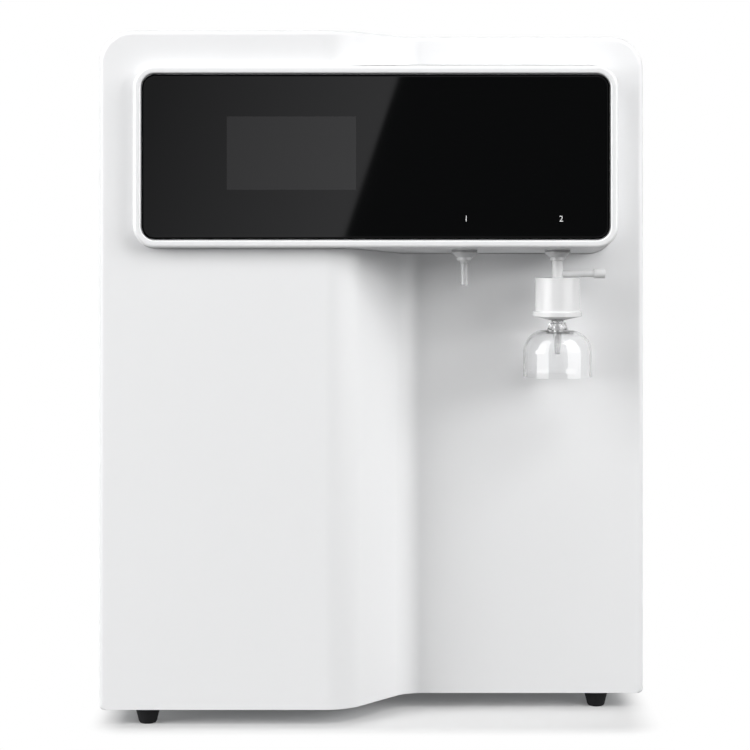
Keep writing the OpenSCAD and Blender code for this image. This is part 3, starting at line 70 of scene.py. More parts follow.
def soft_lamp(name, turn, rise, width, height, power):
    """A large lamp 8 m out, that lights the front of the object and isn't mirrored in it."""
    front_middle = Vector((0, -0.2, 0.25))
    distance = 8
    way = direction(turn, rise)
    lamp = bpy.data.lights.new(name, "AREA")
    lamp.shape = "RECTANGLE"
    lamp.size = width
    lamp.size_y = height
    lamp.energy = power
    holder = placed(name, lamp)
    holder.location = front_middle + distance * way
    holder.rotation_euler = (-way).to_track_quat("-Z", "Y").to_euler()
    holder.visible_glossy = False


soft_lamp("left_low", -80, 5, 2.6, 2.0, 295)
soft_lamp("left_box", -60, 20, 2.6, 6.2, 420)
soft_lamp("right_box", 59, 18, 4.2, 2.8, 224)
soft_lamp("right_tall", 64, 32, 2.6, 6.0, 232)
soft_lamp("right_front", 38, 50, 2.6, 2.0, 122)
soft_lamp("front_low", 20, 20, 6.0, 3.0, 88)
soft_lamp("front_up", 4, 44, 3.0, 3.4, 70)
soft_lamp("rear_left", -165, 12, 4.0, 4.0, 210)
soft_lamp("rear_right", 165, 12, 4.0, 4.0, 210)


def maths_node(nodes, kind, operation, *values):
    """A node that works something out from numbers or points, with its later inputs' values."""
    made = nodes.new(kind)
    made.operation = operation
    for place, value in enumerate(values, start=1):
        made.inputs[place].default_value = value
    return made


def seen_by_lens(nodes):
    """One where a ray comes from the camera, a mirror or a clear piece, and nought elsewhere."""
    path = nodes.new("ShaderNodeLightPath")
    mirrored = maths_node(nodes, "ShaderNodeMath", "MAXIMUM")
    through_clear = maths_node(nodes, "ShaderNodeMath", "MAXIMUM")
    links = path.id_data.links
    links.new(path.outputs["Is Camera Ray"], mirrored.inputs[0])
    links.new(path.outputs["Is Glossy Ray"], mirrored.inputs[1])
    links.new(mirrored.outputs[0], through_clear.inputs[0])
    links.new(path.outputs["Is Transmission Ray"], through_clear.inputs[1])
    return through_clear.outputs[0]


world = bpy.data.worlds.new("white_room")
world.use_nodes = True
bpy.context.scene.world = world
room_nodes = world.node_tree.nodes
room_nodes.clear()
room_light = room_nodes.new("ShaderNodeBackground")
room_light.inputs["Color"].default_value = (0.98, 0.99, 1, 1)
room_light.inputs["Strength"].default_value = 0.04
room_white = room_nodes.new("ShaderNodeBackground")
room_white.inputs["Color"].default_value = (1, 1, 1, 1)
room_mix = room_nodes.new("ShaderNodeMixShader")
room_out = room_nodes.new("ShaderNodeOutputWorld")
world.node_tree.links.new(seen_by_lens(room_nodes), room_mix.inputs["Fac"])
world.node_tree.links.new(room_light.outputs[0], room_mix.inputs[1])
world.node_tree.links.new(room_white.outputs[0], room_mix.inputs[2])
world.node_tree.links.new(room_mix.outputs[0], room_out.inputs["Surface"])

# Floor: a white sheet that holds the shadow near the feet and fades into the white room beyond
floor_half = 3.0
floor_mesh = bpy.data.meshes.new("floor")
floor_corners = [(-floor_half, -floor_half, 0), (floor_half, -floor_half, 0),
                 (floor_half, floor_half, 0), (-floor_half, floor_half, 0)]
floor_mesh.from_pydata(floor_corners, [], [(0, 1, 2, 3)])
floor = placed("floor", floor_mesh)
floor_look = bpy.data.materials.new("white_floor")
floor_look.use_nodes = True
floor_nodes = floor_look.node_tree.nodes
floor_links = floor_look.node_tree.links
floor_nodes.clear()
floor_paper = floor_nodes.new("ShaderNodeBsdfDiffuse")
floor_paper.inputs["Color"].default_value = (0.63, 0.63, 0.63, 1)
floor_bounce = floor_nodes.new("ShaderNodeBsdfDiffuse")
floor_bounce.inputs["Color"].default_value = (0.12, 0.12, 0.12, 1)
floor_glow = floor_nodes.new("ShaderNodeEmission")
floor_glow.inputs["Color"].default_value = (1, 1, 1, 1)
floor_glow.inputs["Strength"].default_value = 0.075
floor_near = floor_nodes.new("ShaderNodeAddShader")
floor_far = floor_nodes.new("ShaderNodeEmission")
floor_place = floor_nodes.new("ShaderNodeTexCoord")
floor_side = maths_node(floor_nodes, "ShaderNodeVectorMath", "ABSOLUTE")
floor_beyond = maths_node(floor_nodes, "ShaderNodeVectorMath", "SUBTRACT", (0.18, 0.22, 0))
floor_clear = maths_node(floor_nodes, "ShaderNodeVectorMath", "MAXIMUM", (0, 0, 0))
floor_reach = maths_node(floor_nodes, "ShaderNodeVectorMath", "LENGTH")
floor_fade = floor_nodes.new("ShaderNodeMapRange")
floor_fade.interpolation_type = "SMOOTHSTEP"
floor_fade.inputs["From Min"].default_value = 0.005
floor_fade.inputs["From Max"].default_value = 0.035
floor_lens = seen_by_lens(floor_nodes)
floor_seen = maths_node(floor_nodes, "ShaderNodeMath", "MULTIPLY")
floor_mix = floor_nodes.new("ShaderNodeMixShader")
floor_only = floor_nodes.new("ShaderNodeMixShader")
floor_out = floor_nodes.new("ShaderNodeOutputMaterial")
floor_links.new(floor_paper.outputs[0], floor_near.inputs[0])
floor_links.new(floor_glow.outputs[0], floor_near.inputs[1])
floor_links.new(floor_place.outputs["Object"], floor_side.inputs[0])
floor_links.new(floor_side.outputs[0], floor_beyond.inputs[0])
floor_links.new(floor_beyond.outputs[0], floor_clear.inputs[0])
floor_links.new(floor_clear.outputs[0], floor_reach.inputs[0])
floor_links.new(floor_reach.outputs["Value"], floor_fade.inputs["Value"])
floor_links.new(floor_lens, floor_seen.inputs[0])
floor_links.new(floor_fade.outputs["Result"], floor_seen.inputs[1])
floor_links.new(floor_lens, floor_only.inputs["Fac"])
floor_links.new(floor_bounce.outputs[0], floor_only.inputs[1])
floor_links.new(floor_near.outputs[0], floor_only.inputs[2])
floor_links.new(floor_seen.outputs[0], floor_mix.inputs["Fac"])
floor_links.new(floor_only.outputs[0], floor_mix.inputs[1])
floor_links.new(floor_far.outputs[0], floor_mix.inputs[2])
floor_links.new(floor_mix.outputs[0], floor_out.inputs["Surface"])
floor_mesh.materials.append(floor_look)


def mirrored_only(card):
    """Shows a card in shiny surfaces and nowhere else."""
    card.visible_camera = False
    card.visible_diffuse = False
    card.visible_transmission = False
    card.visible_shadow = False


# Card behind the camera. Its slanted edge shows in the glass: a graded pale part on the left and
# black cloth on the right.
card_y = -2.4
card_left, card_right, card_low, card_high = -0.75, 0.75, 0.1, 0.95
card_mesh = bpy.data.meshes.new("reflection_card")
card_corners = [(card_left, card_y, card_low), (card_right, card_y, card_low),
                (card_right, card_y, card_high), (card_left, card_y, card_high)]
card_mesh.from_pydata(card_corners, [], [(0, 1, 2, 3)])
mirrored_only(placed("reflection_card", card_mesh))
card_look = bpy.data.materials.new("reflection_card")
card_look.use_nodes = True
card_nodes = card_look.node_tree.nodes
card_links = card_look.node_tree.links
card_nodes.clear()
card_place = card_nodes.new("ShaderNodeTexCoord")
card_split = card_nodes.new("ShaderNodeSeparateXYZ")
card_slant = maths_node(card_nodes, "ShaderNodeMath", "MULTIPLY_ADD", -0.338, 0.174)
card_side = maths_node(card_nodes, "ShaderNodeMath", "ADD")
card_ramp = card_nodes.new("ShaderNodeValToRGB")
card_ramp.color_ramp.elements[0].position = 0.0
card_ramp.color_ramp.elements[0].color = (0.28, 0.28, 0.29, 1)
card_ramp.color_ramp.elements[1].position = 0.497
card_ramp.color_ramp.elements[1].color = (0.72, 0.72, 0.74, 1)
card_dark = card_ramp.color_ramp.elements.new(0.503)
card_dark.color = (0.03, 0.032, 0.034, 1)
card_span = card_nodes.new("ShaderNodeMapRange")
card_span.inputs["From Min"].default_value = -0.45
card_span.inputs["From Max"].default_value = 0.45
card_glow = card_nodes.new("ShaderNodeEmission")
card_out = card_nodes.new("ShaderNodeOutputMaterial")
card_links.new(card_place.outputs["Object"], card_split.inputs[0])
card_links.new(card_split.outputs["Z"], card_slant.inputs[0])
card_links.new(card_slant.outputs[0], card_side.inputs[0])
card_links.new(card_split.outputs["X"], card_side.inputs[1])
card_links.new(card_side.outputs[0], card_span.inputs["Value"])
card_links.new(card_span.outputs["Result"], card_ramp.inputs["Fac"])
card_links.new(card_ramp.outputs["Color"], card_glow.inputs["Color"])
card_links.new(card_glow.outputs[0], card_out.inputs["Surface"])
card_mesh.materials.append(card_look)


def side_card(name, turn_from, turn_to, strength):
    """A tall bright card bent about the object between two angles to the right of the camera."""
    card_middle = Vector((0.06, -0.2, 0.3))
    radius = 2.2
    rise_from, rise_to = -7.5, 60
    across_steps, up_steps = 12, 10
    points, faces = [], []
    for i in range(across_steps + 1):
        turn = turn_from + (turn_to - turn_from) * i / across_steps
        for j in range(up_steps + 1):
            rise = rise_from + (rise_to - rise_from) * j / up_steps
            points.append(card_middle + radius * direction(turn, rise))
    row = up_steps + 1
    for i in range(across_steps):
        for j in range(up_steps):
            faces.append((i * row + j, (i + 1) * row + j, (i + 1) * row + j + 1, i * row + j + 1))
    mesh = bpy.data.meshes.new(name)
    mesh.from_pydata(points, [], faces)
    sheet = placed(name, mesh)
    mirrored_only(sheet)
    look = bpy.data.materials.new(name)
    look.use_nodes = True
    nodes = look.node_tree.nodes
    nodes.clear()
    glow = nodes.new("ShaderNodeEmission")
    glow.inputs["Strength"].default_value = strength
    out = nodes.new("ShaderNodeOutputMaterial")
    look.node_tree.links.new(glow.outputs[0], out.inputs["Surface"])
    mesh.materials.append(look)
    return sheet


side_cards = (side_card("left_card", -77, -34, 7.0), side_card("right_card", 30, 79, 6.0))


# ---------------------------------------------------------------- base plate
# Folded floor of the cabinet, in zinc-plated steel sheet with turned-up sides.
# Everything inside stands on it, and the feet are screwed through it.
def finish(name, colour, roughness, mottle=(0.03, 60), spread=0.04, grain=(0.5, 0.01), **sockets):
    """A surface with a drift of colour (its share and size), a spread of gloss and a fine grain
    (its size and depth), in millimetres. Other settings of the shader go by their names."""
    look = bpy.data.materials.new(name)
    look.use_nodes = True
    nodes = look.node_tree.nodes
    links = look.node_tree.links
    shader = nodes["Principled BSDF"]
    place = nodes.new("ShaderNodeTexCoord")
    drift = nodes.new("ShaderNodeTexNoise")
    drift.inputs["Scale"].default_value = 1000 / mottle[1]
    drift.inputs["Detail"].default_value = 5
    links.new(place.outputs["Object"], drift.inputs["Vector"])
    tint = nodes.new("ShaderNodeMix")
    tint.data_type = "RGBA"
    tint.inputs["A"].default_value = [c * (1 - mottle[0]) for c in colour] + [1]
    tint.inputs["B"].default_value = [min(1, c * (1 + mottle[0])) for c in colour] + [1]
    links.new(drift.outputs["Fac"], tint.inputs["Factor"])
    links.new(tint.outputs["Result"], shader.inputs["Base Color"])
    gloss = nodes.new("ShaderNodeMapRange")
    gloss.inputs["To Min"].default_value = max(0, roughness - spread)
    gloss.inputs["To Max"].default_value = roughness + spread
    links.new(drift.outputs["Fac"], gloss.inputs["Value"])
    links.new(gloss.outputs["Result"], shader.inputs["Roughness"])
    speck = nodes.new("ShaderNodeTexNoise")
    speck.name = "grain"
    speck.inputs["Scale"].default_value = 1000 / grain[0]
    speck.inputs["Detail"].default_value = 2
    links.new(place.outputs["Object"], speck.inputs["Vector"])
    dents = nodes.new("ShaderNodeBump")
    dents.inputs["Distance"].default_value = grain[1] * mm
    links.new(speck.outputs["Fac"], dents.inputs["Height"])
    links.new(dents.outputs["Normal"], shader.inputs["Normal"])
    for socket, value in sockets.items():
        shader.inputs[socket.replace("_", " ")].default_value = value
    return look


weld_gap = 0.002 * mm


def smooth_group(angle):
    """Welds a part's facets together and shades it smooth but for edges sharper than an angle."""
    name = "smooth_%d" % angle
    if name in bpy.data.node_groups:
        return bpy.data.node_groups[name]
    group = bpy.data.node_groups.new(name, "GeometryNodeTree")
    group.interface.new_socket("Geometry", in_out="INPUT", socket_type="NodeSocketGeometry")
    group.interface.new_socket("Geometry", in_out="OUTPUT", socket_type="NodeSocketGeometry")
    nodes = group.nodes
    start = nodes.new("NodeGroupInput")
    weld = nodes.new("GeometryNodeMergeByDistance")
    weld.inputs["Distance"].default_value = weld_gap
    faces = nodes.new("GeometryNodeSetShadeSmooth")
    faces.domain = "FACE"
    edges = nodes.new("GeometryNodeSetShadeSmooth")
    edges.domain = "EDGE"
    edges.inputs["Shade Smooth"].default_value = False
    bend = nodes.new("GeometryNodeInputMeshEdgeAngle")
    sharp = nodes.new("FunctionNodeCompare")
    sharp.operation = "GREATER_THAN"
    sharp.inputs["B"].default_value = math.radians(angle)
    end = nodes.new("NodeGroupOutput")
    links = group.links
    links.new(start.outputs[0], weld.inputs["Geometry"])
    links.new(weld.outputs["Geometry"], faces.inputs["Geometry"])
    links.new(faces.outputs["Geometry"], edges.inputs["Geometry"])
    links.new(bend.outputs["Unsigned Angle"], sharp.inputs["A"])
    links.new(sharp.outputs["Result"], edges.inputs["Selection"])
    links.new(edges.outputs["Geometry"], end.inputs[0])
    return group


def level_out(part):
    """Lets the large flat faces set the shading, so that rounded edges don't smear into them."""
    flat = part.modifiers.new("flat_faces", "WEIGHTED_NORMAL")
    flat.mode = "FACE_AREA"
    flat.weight = 100
    flat.keep_sharp = True


def dress(node, look, edge=0.3, angle=32):
    """Gives a part its finish and breaks its sharp edges by a small chamfer, in millimetres."""
    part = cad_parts[node]
    part.data.materials.clear()
    part.data.materials.append(look)
    weld = part.modifiers.new("weld", "WELD")
    weld.merge_threshold = weld_gap
    if edge:
        broken = part.modifiers.new("edges", "BEVEL")
        broken.width = edge * mm
        broken.segments = 2
        broken.limit_method = "ANGLE"
        broken.angle_limit = math.radians(angle)
        broken.use_clamp_overlap = True
        broken.miter_outer = "MITER_ARC"
    shade = part.modifiers.new("smooth", "NODES")
    shade.node_group = smooth_group(angle)
    level_out(part)


zinc_plate = finish("zinc_plate", (0.52, 0.54, 0.56), 0.34, mottle=(0.10, 14), spread=0.10,
                    grain=(0.8, 0.006), Metallic=1.0)
dress("base_plate", zinc_plate, edge=0.25)


# ---------------------------------------------------------------- feet
# Four moulded rubber feet, tapered to the bench, each held by a pan-head screw from below.
# The rear pair is the same as the front pair.
def eased(outline, radius, steps=4, closed=True):
    """The same outline with each corner rounded off, in millimetres."""
    points = [Vector(p) for p in outline]
    count = len(points)
    out = []
    for i, here in enumerate(points):
        if not closed and i in (0, count - 1):
            out.append(tuple(here))
            continue
        before = points[(i - 1) % count] - here
        after = points[(i + 1) % count] - here
        if before.length < 1e-6 or after.length < 1e-6:
            continue
        turn = math.pi - before.angle(after)
        if turn < 0.05:
            out.append(tuple(here))
            continue
        reach = min(radius * math.tan(turn / 2), before.length * 0.45, after.length * 0.45)
        first = here + before.normalized() * reach
        last = here + after.normalized() * reach
        for k in range(steps + 1):
            t = k / steps
            out.append(tuple(first * (1 - t) ** 2 + here * 2 * t * (1 - t) + last * t ** 2))
    return out


def piece(name, verts, faces, look, body, slot, replaced=(), angle=32):
    """A mesh from points in millimetres, with its finish, its body, its material slot, which is not
    used, and the parts that it stands for."""
    mesh = bpy.data.meshes.new(name)
    mesh.from_pydata([(x * mm, y * mm, z * mm) for x, y, z in verts], [], faces)
    work = bmesh.new()
    work.from_mesh(mesh)
    bmesh.ops.remove_doubles(work, verts=work.verts, dist=0.001 * mm)
    bmesh.ops.dissolve_degenerate(work, edges=work.edges, dist=0.0005 * mm)
    bmesh.ops.recalc_face_normals(work, faces=work.faces)
    work.to_mesh(mesh)
    work.free()
    mesh.shade_smooth()
    mesh.set_sharp_from_angle(angle=math.radians(angle))
    mesh.materials.append(look)
    made = placed(name, mesh)
    if body:
        level_out(made)
        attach(made, body)
    if replaced:
        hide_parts(*replaced)
    return made


def turning(outline, centre, axis="z", steps=96):
    """A closed outline of (radius, height) pairs turned about an upright or a sideways axis."""
    verts, faces = [], []
    count = len(outline)
    for k in range(steps):
        a = 2 * math.pi * k / steps
        for r, h in outline:
            u, v = r * math.cos(a), r * math.sin(a)
            offset = (u, v, h) if axis == "z" else (h, u, v)
            verts.append(tuple(c + o for c, o in zip(centre, offset)))
    for k in range(steps):
        n = (k + 1) % steps
        for i in range(count):
            j = (i + 1) % count
            if outline[i][0] < 1e-6 and outline[j][0] < 1e-6:
                continue
            if outline[i][0] < 1e-6:
                faces.append((k * count + i, k * count + j, n * count + j))
            elif outline[j][0] < 1e-6:
                faces.append((k * count + i, k * count + j, n * count + i))
            else:
                faces.append((k * count + i, k * count + j, n * count + j, n * count + i))
    return verts, faces


def together(shapes):
    """Several shapes' points and faces as one."""
    verts, faces = [], []
    for v, f in shapes:
        start = len(verts)
        verts += v
        faces += [tuple(i + start for i in face) for face in f]
    return verts, faces


foot_rubber = finish("foot_rubber", (0.009, 0.009, 0.01), 0.62, mottle=(0.35, 9), spread=0.08,
                     grain=(0.35, 0.02), Specular_IOR_Level=0.14)
foot_h, foot_top_r, foot_bore_r, socket_r, socket_h = 12, 9, 2.4, 4.2, 5
foot_outline = eased([(foot_bore_r, foot_h), (foot_top_r, foot_h), (foot_top_r, foot_h - 2),
                      (6.8, 1.5), (6.3, 0.5), (5.7, 0), (socket_r, 0), (socket_r, socket_h),
                      (foot_bore_r, socket_h)], 0.5)
foot_places = [(-170, -212.5), (170, -162.5), (-170, 190), (170, 190)]
piece("foot_set", *together(turning(foot_outline, (x, y, 0), steps=64) for x, y in foot_places),
      foot_rubber, "cabinet", "black_rubber", ["feet"])
screw_steel = finish("screw_steel", (0.60, 0.61, 0.62), 0.26, mottle=(0.08, 3), spread=0.08,
                     grain=(0.2, 0.004), Metallic=1.0)
dress("foot_screws", screw_steel, edge=0.2)

# ---------------------------------------------------------------- chassis
# Upright wall behind the cartridges and a shelf on it that carries the electrics.
# Both are folded from the same plated sheet as the floor.
dress("middle_wall", zinc_plate, edge=0.25)
dress("shelf", zinc_plate, edge=0.25)

# ---------------------------------------------------------------- pumps
# Booster pump on the floor behind the cartridges, and the smaller circulation pump beside it.
# Motor cans are dull plated steel, pump heads black glass-filled plastic, mounts soft rubber.
motor_can = finish("motor_can", (0.19, 0.195, 0.205), 0.38, mottle=(0.12, 25), spread=0.08,
                   grain=(0.4, 0.01), Metallic=0.9)
pump_plastic = finish("pump_plastic", (0.018, 0.018, 0.02), 0.48, mottle=(0.25, 12),
                      grain=(0.4, 0.03))
mount_rubber = finish("mount_rubber", (0.016, 0.016, 0.016), 0.7, mottle=(0.3, 8),
                      grain=(0.3, 0.02))
for pump in ("booster", "circulation"):
    dress(pump + "_motor", motor_can, edge=0.8)
    dress(pump + "_head", pump_plastic, edge=0.5)
    dress(pump + "_bracket", zinc_plate, edge=0.25)
    dress(pump + "_mounts", mount_rubber, edge=0.4)

# ---------------------------------------------------------------- ultraviolet chamber
# Polished stainless tube that holds the lamp, with black plastic caps at both ends.
# Two steel saddles clamp it to the shelf.
stainless = finish("stainless", (0.62, 0.61, 0.59), 0.16, mottle=(0.05, 30), spread=0.05,
                   grain=(0.15, 0.002), Metallic=1.0)
cap_plastic = finish("cap_plastic", (0.022, 0.022, 0.023), 0.42, mottle=(0.2, 10),
                     grain=(0.4, 0.02))
lamp_quartz = finish("lamp_quartz", (0.86, 0.88, 0.9), 0.08, mottle=(0.02, 20), spread=0.02,
                     grain=(0.5, 0.001))
dress("uv_chamber", stainless, edge=0.3)
dress("uv_end_caps", cap_plastic, edge=0.6)
dress("uv_lamp", lamp_quartz, edge=0.3)
dress("uv_clamps", zinc_plate, edge=0.25)

# ---------------------------------------------------------------- valves and flow sensor
# Three coil valves in a row on the wall, and in the line beside them a flow sensor and the block
# that holds the two conductivity cells. All of them are dark mouldings.
valve_plastic = finish("valve_plastic", (0.03, 0.03, 0.034), 0.44, mottle=(0.2, 10),
                       grain=(0.4, 0.02))
sensor_plastic = finish("sensor_plastic", (0.026, 0.027, 0.028), 0.5, mottle=(0.2, 8),
                        grain=(0.4, 0.02))
dress("solenoid_valves", valve_plastic, edge=0.4)
dress("flow_sensor", sensor_plastic, edge=0.4)

# ---------------------------------------------------------------- cartridges
# Heads of white plastic hang from the wall and three cartridges lock into them by a quarter turn.
# The cartridges are welded white tubes that differ in tint.
head_plastic = finish("head_plastic", (0.78, 0.79, 0.79), 0.34, mottle=(0.02, 40),
                      grain=(0.5, 0.012))
cartridge_white = finish("cartridge_white", (0.80, 0.80, 0.79), 0.36, mottle=(0.03, 50),
                         grain=(0.6, 0.012))
cartridge_blue = finish("cartridge_blue", (0.62, 0.71, 0.80), 0.36, mottle=(0.03, 50),
                        grain=(0.6, 0.012))
cartridge_grey = finish("cartridge_grey", (0.60, 0.61, 0.66), 0.36, mottle=(0.03, 50),
                        grain=(0.6, 0.012))
dress("cartridge_heads", head_plastic, edge=0.6)
dress("pretreatment_cartridge", cartridge_white, edge=0.6)
dress("reverse_osmosis_cartridge", cartridge_blue, edge=0.6)
dress("polishing_cartridge", cartridge_grey, edge=0.6)

# ---------------------------------------------------------------- water tubes
# Quarter-inch tube in milky plastic, from the feed port up to the heads and from head to head.
# It is pushed into its fittings, and its bends are round.
milky_tube = finish("milky_tube", (0.78, 0.81, 0.83), 0.26, mottle=(0.02, 20), grain=(0.5, 0.004),
                    Subsurface_Weight=0.3)
dress("feed_tube", milky_tube, edge=0)
dress("inner_tubes", milky_tube, edge=0)

# ---------------------------------------------------------------- electrics
# Caged power supply with a perforated lid, and the control board on brass standoffs.
# Both stand on the shelf.
cage_steel = finish("cage_steel", (0.60, 0.61, 0.62), 0.3, mottle=(0.06, 20), spread=0.08,
                    grain=(0.5, 0.004), Metallic=1.0)
board_green = finish("board_green", (0.012, 0.085, 0.035), 0.32, mottle=(0.25, 6),
                     grain=(0.8, 0.01))
brass = finish("brass", (0.72, 0.52, 0.24), 0.24, mottle=(0.05, 5), grain=(0.2, 0.003),
               Metallic=1.0)
dress("power_supply", cage_steel, edge=0.15)
dress("control_board", board_green, edge=0.1)
dress("board_standoffs", brass, edge=0.2)

# ---------------------------------------------------------------- rear panel
# Painted steel panel with louvres, folded at its edges and screwed to the casing.
# The paint is a white powder coat with a faint orange-peel.
powder_coat = finish("powder_coat", (0.76, 0.77, 0.78), 0.42, mottle=(0.012, 120), spread=0.03,
                     grain=(1.4, 0.02))
dress("rear_panel", powder_coat, edge=0)
dress("rear_screws", screw_steel, edge=0.2)

# Push-in ports for feed, reject and tank, each with a release ring in its own colour
port_plastic = finish("port_plastic", (0.74, 0.75, 0.75), 0.3, mottle=(0.02, 12),
                      grain=(0.4, 0.008))
ring_blue = finish("ring_blue", (0.03, 0.16, 0.52), 0.34, mottle=(0.06, 5), grain=(0.3, 0.008))
ring_red = finish("ring_red", (0.50, 0.03, 0.03), 0.34, mottle=(0.06, 5), grain=(0.3, 0.008))
ring_grey = finish("ring_grey", (0.16, 0.16, 0.17), 0.34, mottle=(0.06, 5), grain=(0.3, 0.008))
dress("port_bodies", port_plastic, edge=0.3)
dress("feed_collet", ring_blue, edge=0.25)
dress("reject_collet", ring_red, edge=0.25)
dress("tank_collet", ring_grey, edge=0.25)

# Mains inlet with its pins and fuse drawer, and the power switch above it, in black plastic
inlet_black = finish("inlet_black", (0.012, 0.012, 0.013), 0.36, mottle=(0.25, 8),
                     grain=(0.4, 0.015))
pin_metal = finish("pin_metal", (0.72, 0.71, 0.68), 0.2, mottle=(0.05, 3), grain=(0.2, 0.002),
                   Metallic=1.0)
rocker_black = finish("rocker_black", (0.010, 0.010, 0.011), 0.22, mottle=(0.2, 6),
                      grain=(0.4, 0.004))
dress("power_inlet", inlet_black, edge=0.3)
dress("inlet_pins", pin_metal, edge=0.3)
dress("fuse_drawer", inlet_black, edge=0.2)
dress("switch_body", inlet_black, edge=0.3)
dress("switch_rocker", rocker_black, edge=0.3)

# ---------------------------------------------------------------- casing
# One painted sheet folded over the top and both sides, with the service opening in its left side.
# Screws through the turned-in lower edges hold it to the base plate.
dress("casing_wrap", powder_coat, edge=0)
dress("casing_screws", screw_steel, edge=0.2)

# ---------------------------------------------------------------- service door
# Folded door of the same painted sheet, in the left side. It swings on two pins, and two magnets
# hold its front edge.
dress("service_door", powder_coat, edge=0.35)
dress("door_hinges", zinc_plate, edge=0.2)
magnet_black = finish("magnet_black", (0.05, 0.05, 0.055), 0.4, mottle=(0.15, 6), grain=(0.3, 0.01),
                      Metallic=0.6)
dress("door_magnets", magnet_black, edge=0.4)

# ---------------------------------------------------------------- front cover
# One moulded shell: a raised left part runs through a soft S-shaped step into the recessed right
# part. The mould's fine spark texture gives it a satin white.
body_half, body_top, body_low = 205.0, 515.0, 12.0
y_raised, y_recess, y_split = -226.0, -176.0, -131.0
upper_r, lower_r, wall, front_round = 25.0, 3.0, 3.0, 4.0

# The step in plan: a bend of one radius out of the raised face, a straight run, and a bend of
# another radius into the recess
step_start, out_r, in_r, step_turn = -38.0, 36.0, 26.0, math.radians(48)
step_run = (y_recess - y_raised - (out_r + in_r) * (1 - math.cos(step_turn))) / math.sin(step_turn)
step_end = step_start + (out_r + in_r) * math.sin(step_turn) + step_run * math.cos(step_turn)
bend_steps, corner_steps, round_steps = 22, 14, 8


def cover_stations(inside, drawn_in):
    """The cover's outline from left to right: x, depth, upper and lower height at each station."""
    r = upper_r - inside - drawn_in
    x_side = body_half - inside - drawn_in
    z_up = body_top - upper_r
    z_low = body_low + 0.1 * drawn_in
    left, right = [], []
    for i in range(corner_steps + 1):
        a = math.pi / 2 * i / corner_steps
        dx = r * (1 - math.cos(a))
        lift = 0 if dx >= lower_r else lower_r - math.sqrt(lower_r ** 2 - (lower_r - dx) ** 2)
        left.append((-x_side + dx, y_raised + inside, z_up + r * math.sin(a), z_low + lift))
        right.append((x_side - dx, y_recess + inside, z_up + r * math.sin(a), z_low + lift))
    step = []
    for i in range(bend_steps + 1):
        t = step_turn * i / bend_steps
        step.append((step_start + (out_r - inside) * math.sin(t),
                     y_raised + out_r - (out_r - inside) * math.cos(t), z_up + r, z_low))
    for i in range(bend_steps, -1, -1):
        t = step_turn * i / bend_steps
        step.append((step_end - (in_r + inside) * math.sin(t),
                     y_recess - in_r + (in_r + inside) * math.cos(t), z_up + r, z_low))
    return left + step + right[::-1]


def ring_of(stations, back):
    """One closed ring over the stations' upper and lower points, set back by a depth."""
    upper = [(x, y + back, up) for x, y, up, low in stations]
    lower = [(x, y + back, low) for x, y, up, low in stations[::-1]]
    return upper + lower


def through(rings, strips=True):
    """A closed solid through rings of equal length, its ends closed by strips or by one face."""
    n = len(rings[0])
    verts = [p for ring in rings for p in ring]
    faces = [(k * n + i, k * n + (i + 1) % n, (k + 1) * n + (i + 1) % n, (k + 1) * n + i)
             for k in range(len(rings) - 1) for i in range(n)]
    last = (len(rings) - 1) * n
    if strips:
        for i in range(n // 2 - 1):
            faces.append((n - 1 - i, n - 2 - i, i + 1, i))
            faces.append((last + i, last + i + 1, last + n - 2 - i, last + n - 1 - i))
    else:
        faces.append(tuple(range(n - 1, -1, -1)))
        faces.append(tuple(range(last, last + n)))
    return verts, faces


def rounded(width, height, radius, centre, y, steps=16):
    """A rounded rectangle seen from the front, as points in millimetres at one depth."""
    out = []
    for sx, sz, start in ((1, 1, 0), (-1, 1, 90), (-1, -1, 180), (1, -1, 270)):
        for k in range(steps + 1):
            a = math.radians(start + 90 * k / steps)
            out.append((centre[0] + sx * (width / 2 - radius) + radius * math.cos(a), y,
                        centre[1] + sz * (height / 2 - radius) + radius * math.sin(a)))
    return out


def tool(name, shape, look):
    """A solid that only cuts or joins another piece."""
    return piece(name, *shape, look, None, None)


def carve(target, how, *tools):
    """Cuts tools from a piece or joins them to it, for good, and takes the tools away."""
    target.modifiers.clear()
    for t in tools:
        step = target.modifiers.new("carve", "BOOLEAN")
        step.operation = how
        step.solver = "EXACT"
        step.object = t
    bpy.context.view_layer.update()
    carved = target.evaluated_get(bpy.context.evaluated_depsgraph_get())
    shaped = bpy.data.meshes.new_from_object(carved)
    target.modifiers.clear()
    target.data = shaped
    for t in tools:
        bpy.data.objects.remove(t)
    shaped.shade_smooth()
    shaped.set_sharp_from_angle(angle=math.radians(32))
    level_out(target)


satin_white = finish("satin_white", (0.80, 0.803, 0.81), 0.42, mottle=(0.008, 140), spread=0.02,
                     grain=(0.7, 0.012), Specular_IOR_Level=0.25)
outer_rings = []
for k in range(round_steps + 1):
    t = math.pi / 2 * k / round_steps
    drawn_in, back = front_round * (1 - math.cos(t)), front_round * (1 - math.sin(t))
    outer_rings.append(ring_of(cover_stations(0, drawn_in), back))
outer_rings.insert(0, [(x, y_split, z) for x, y, z in outer_rings[0]])
inner_ring = ring_of([(x, y, up, body_low - 1) for x, y, up, low in cover_stations(wall, 0)], 0)
inner_back = [(x, y_split + 1, z) for x, y, z in inner_ring]

# The pod passes through the cover, with a small gap round it
pod_w, pod_h, pod_r, y_pod, pod_z = 357.0, 134.0, 16.0, -235.0, 421.0
bezel_d, pod_d, pod_wall = 6.0, 71.0, 3.0
flare = math.tan(math.radians(5.4))
pod_gap = 0.3


def pod_ring(depth, grown):
    """A section of the flared pod at a depth behind its front."""
    wide = (depth - bezel_d) * flare + grown
    return rounded(pod_w + 2 * wide, pod_h + 2 * wide, pod_r + wide, (0, pod_z), y_pod + depth)


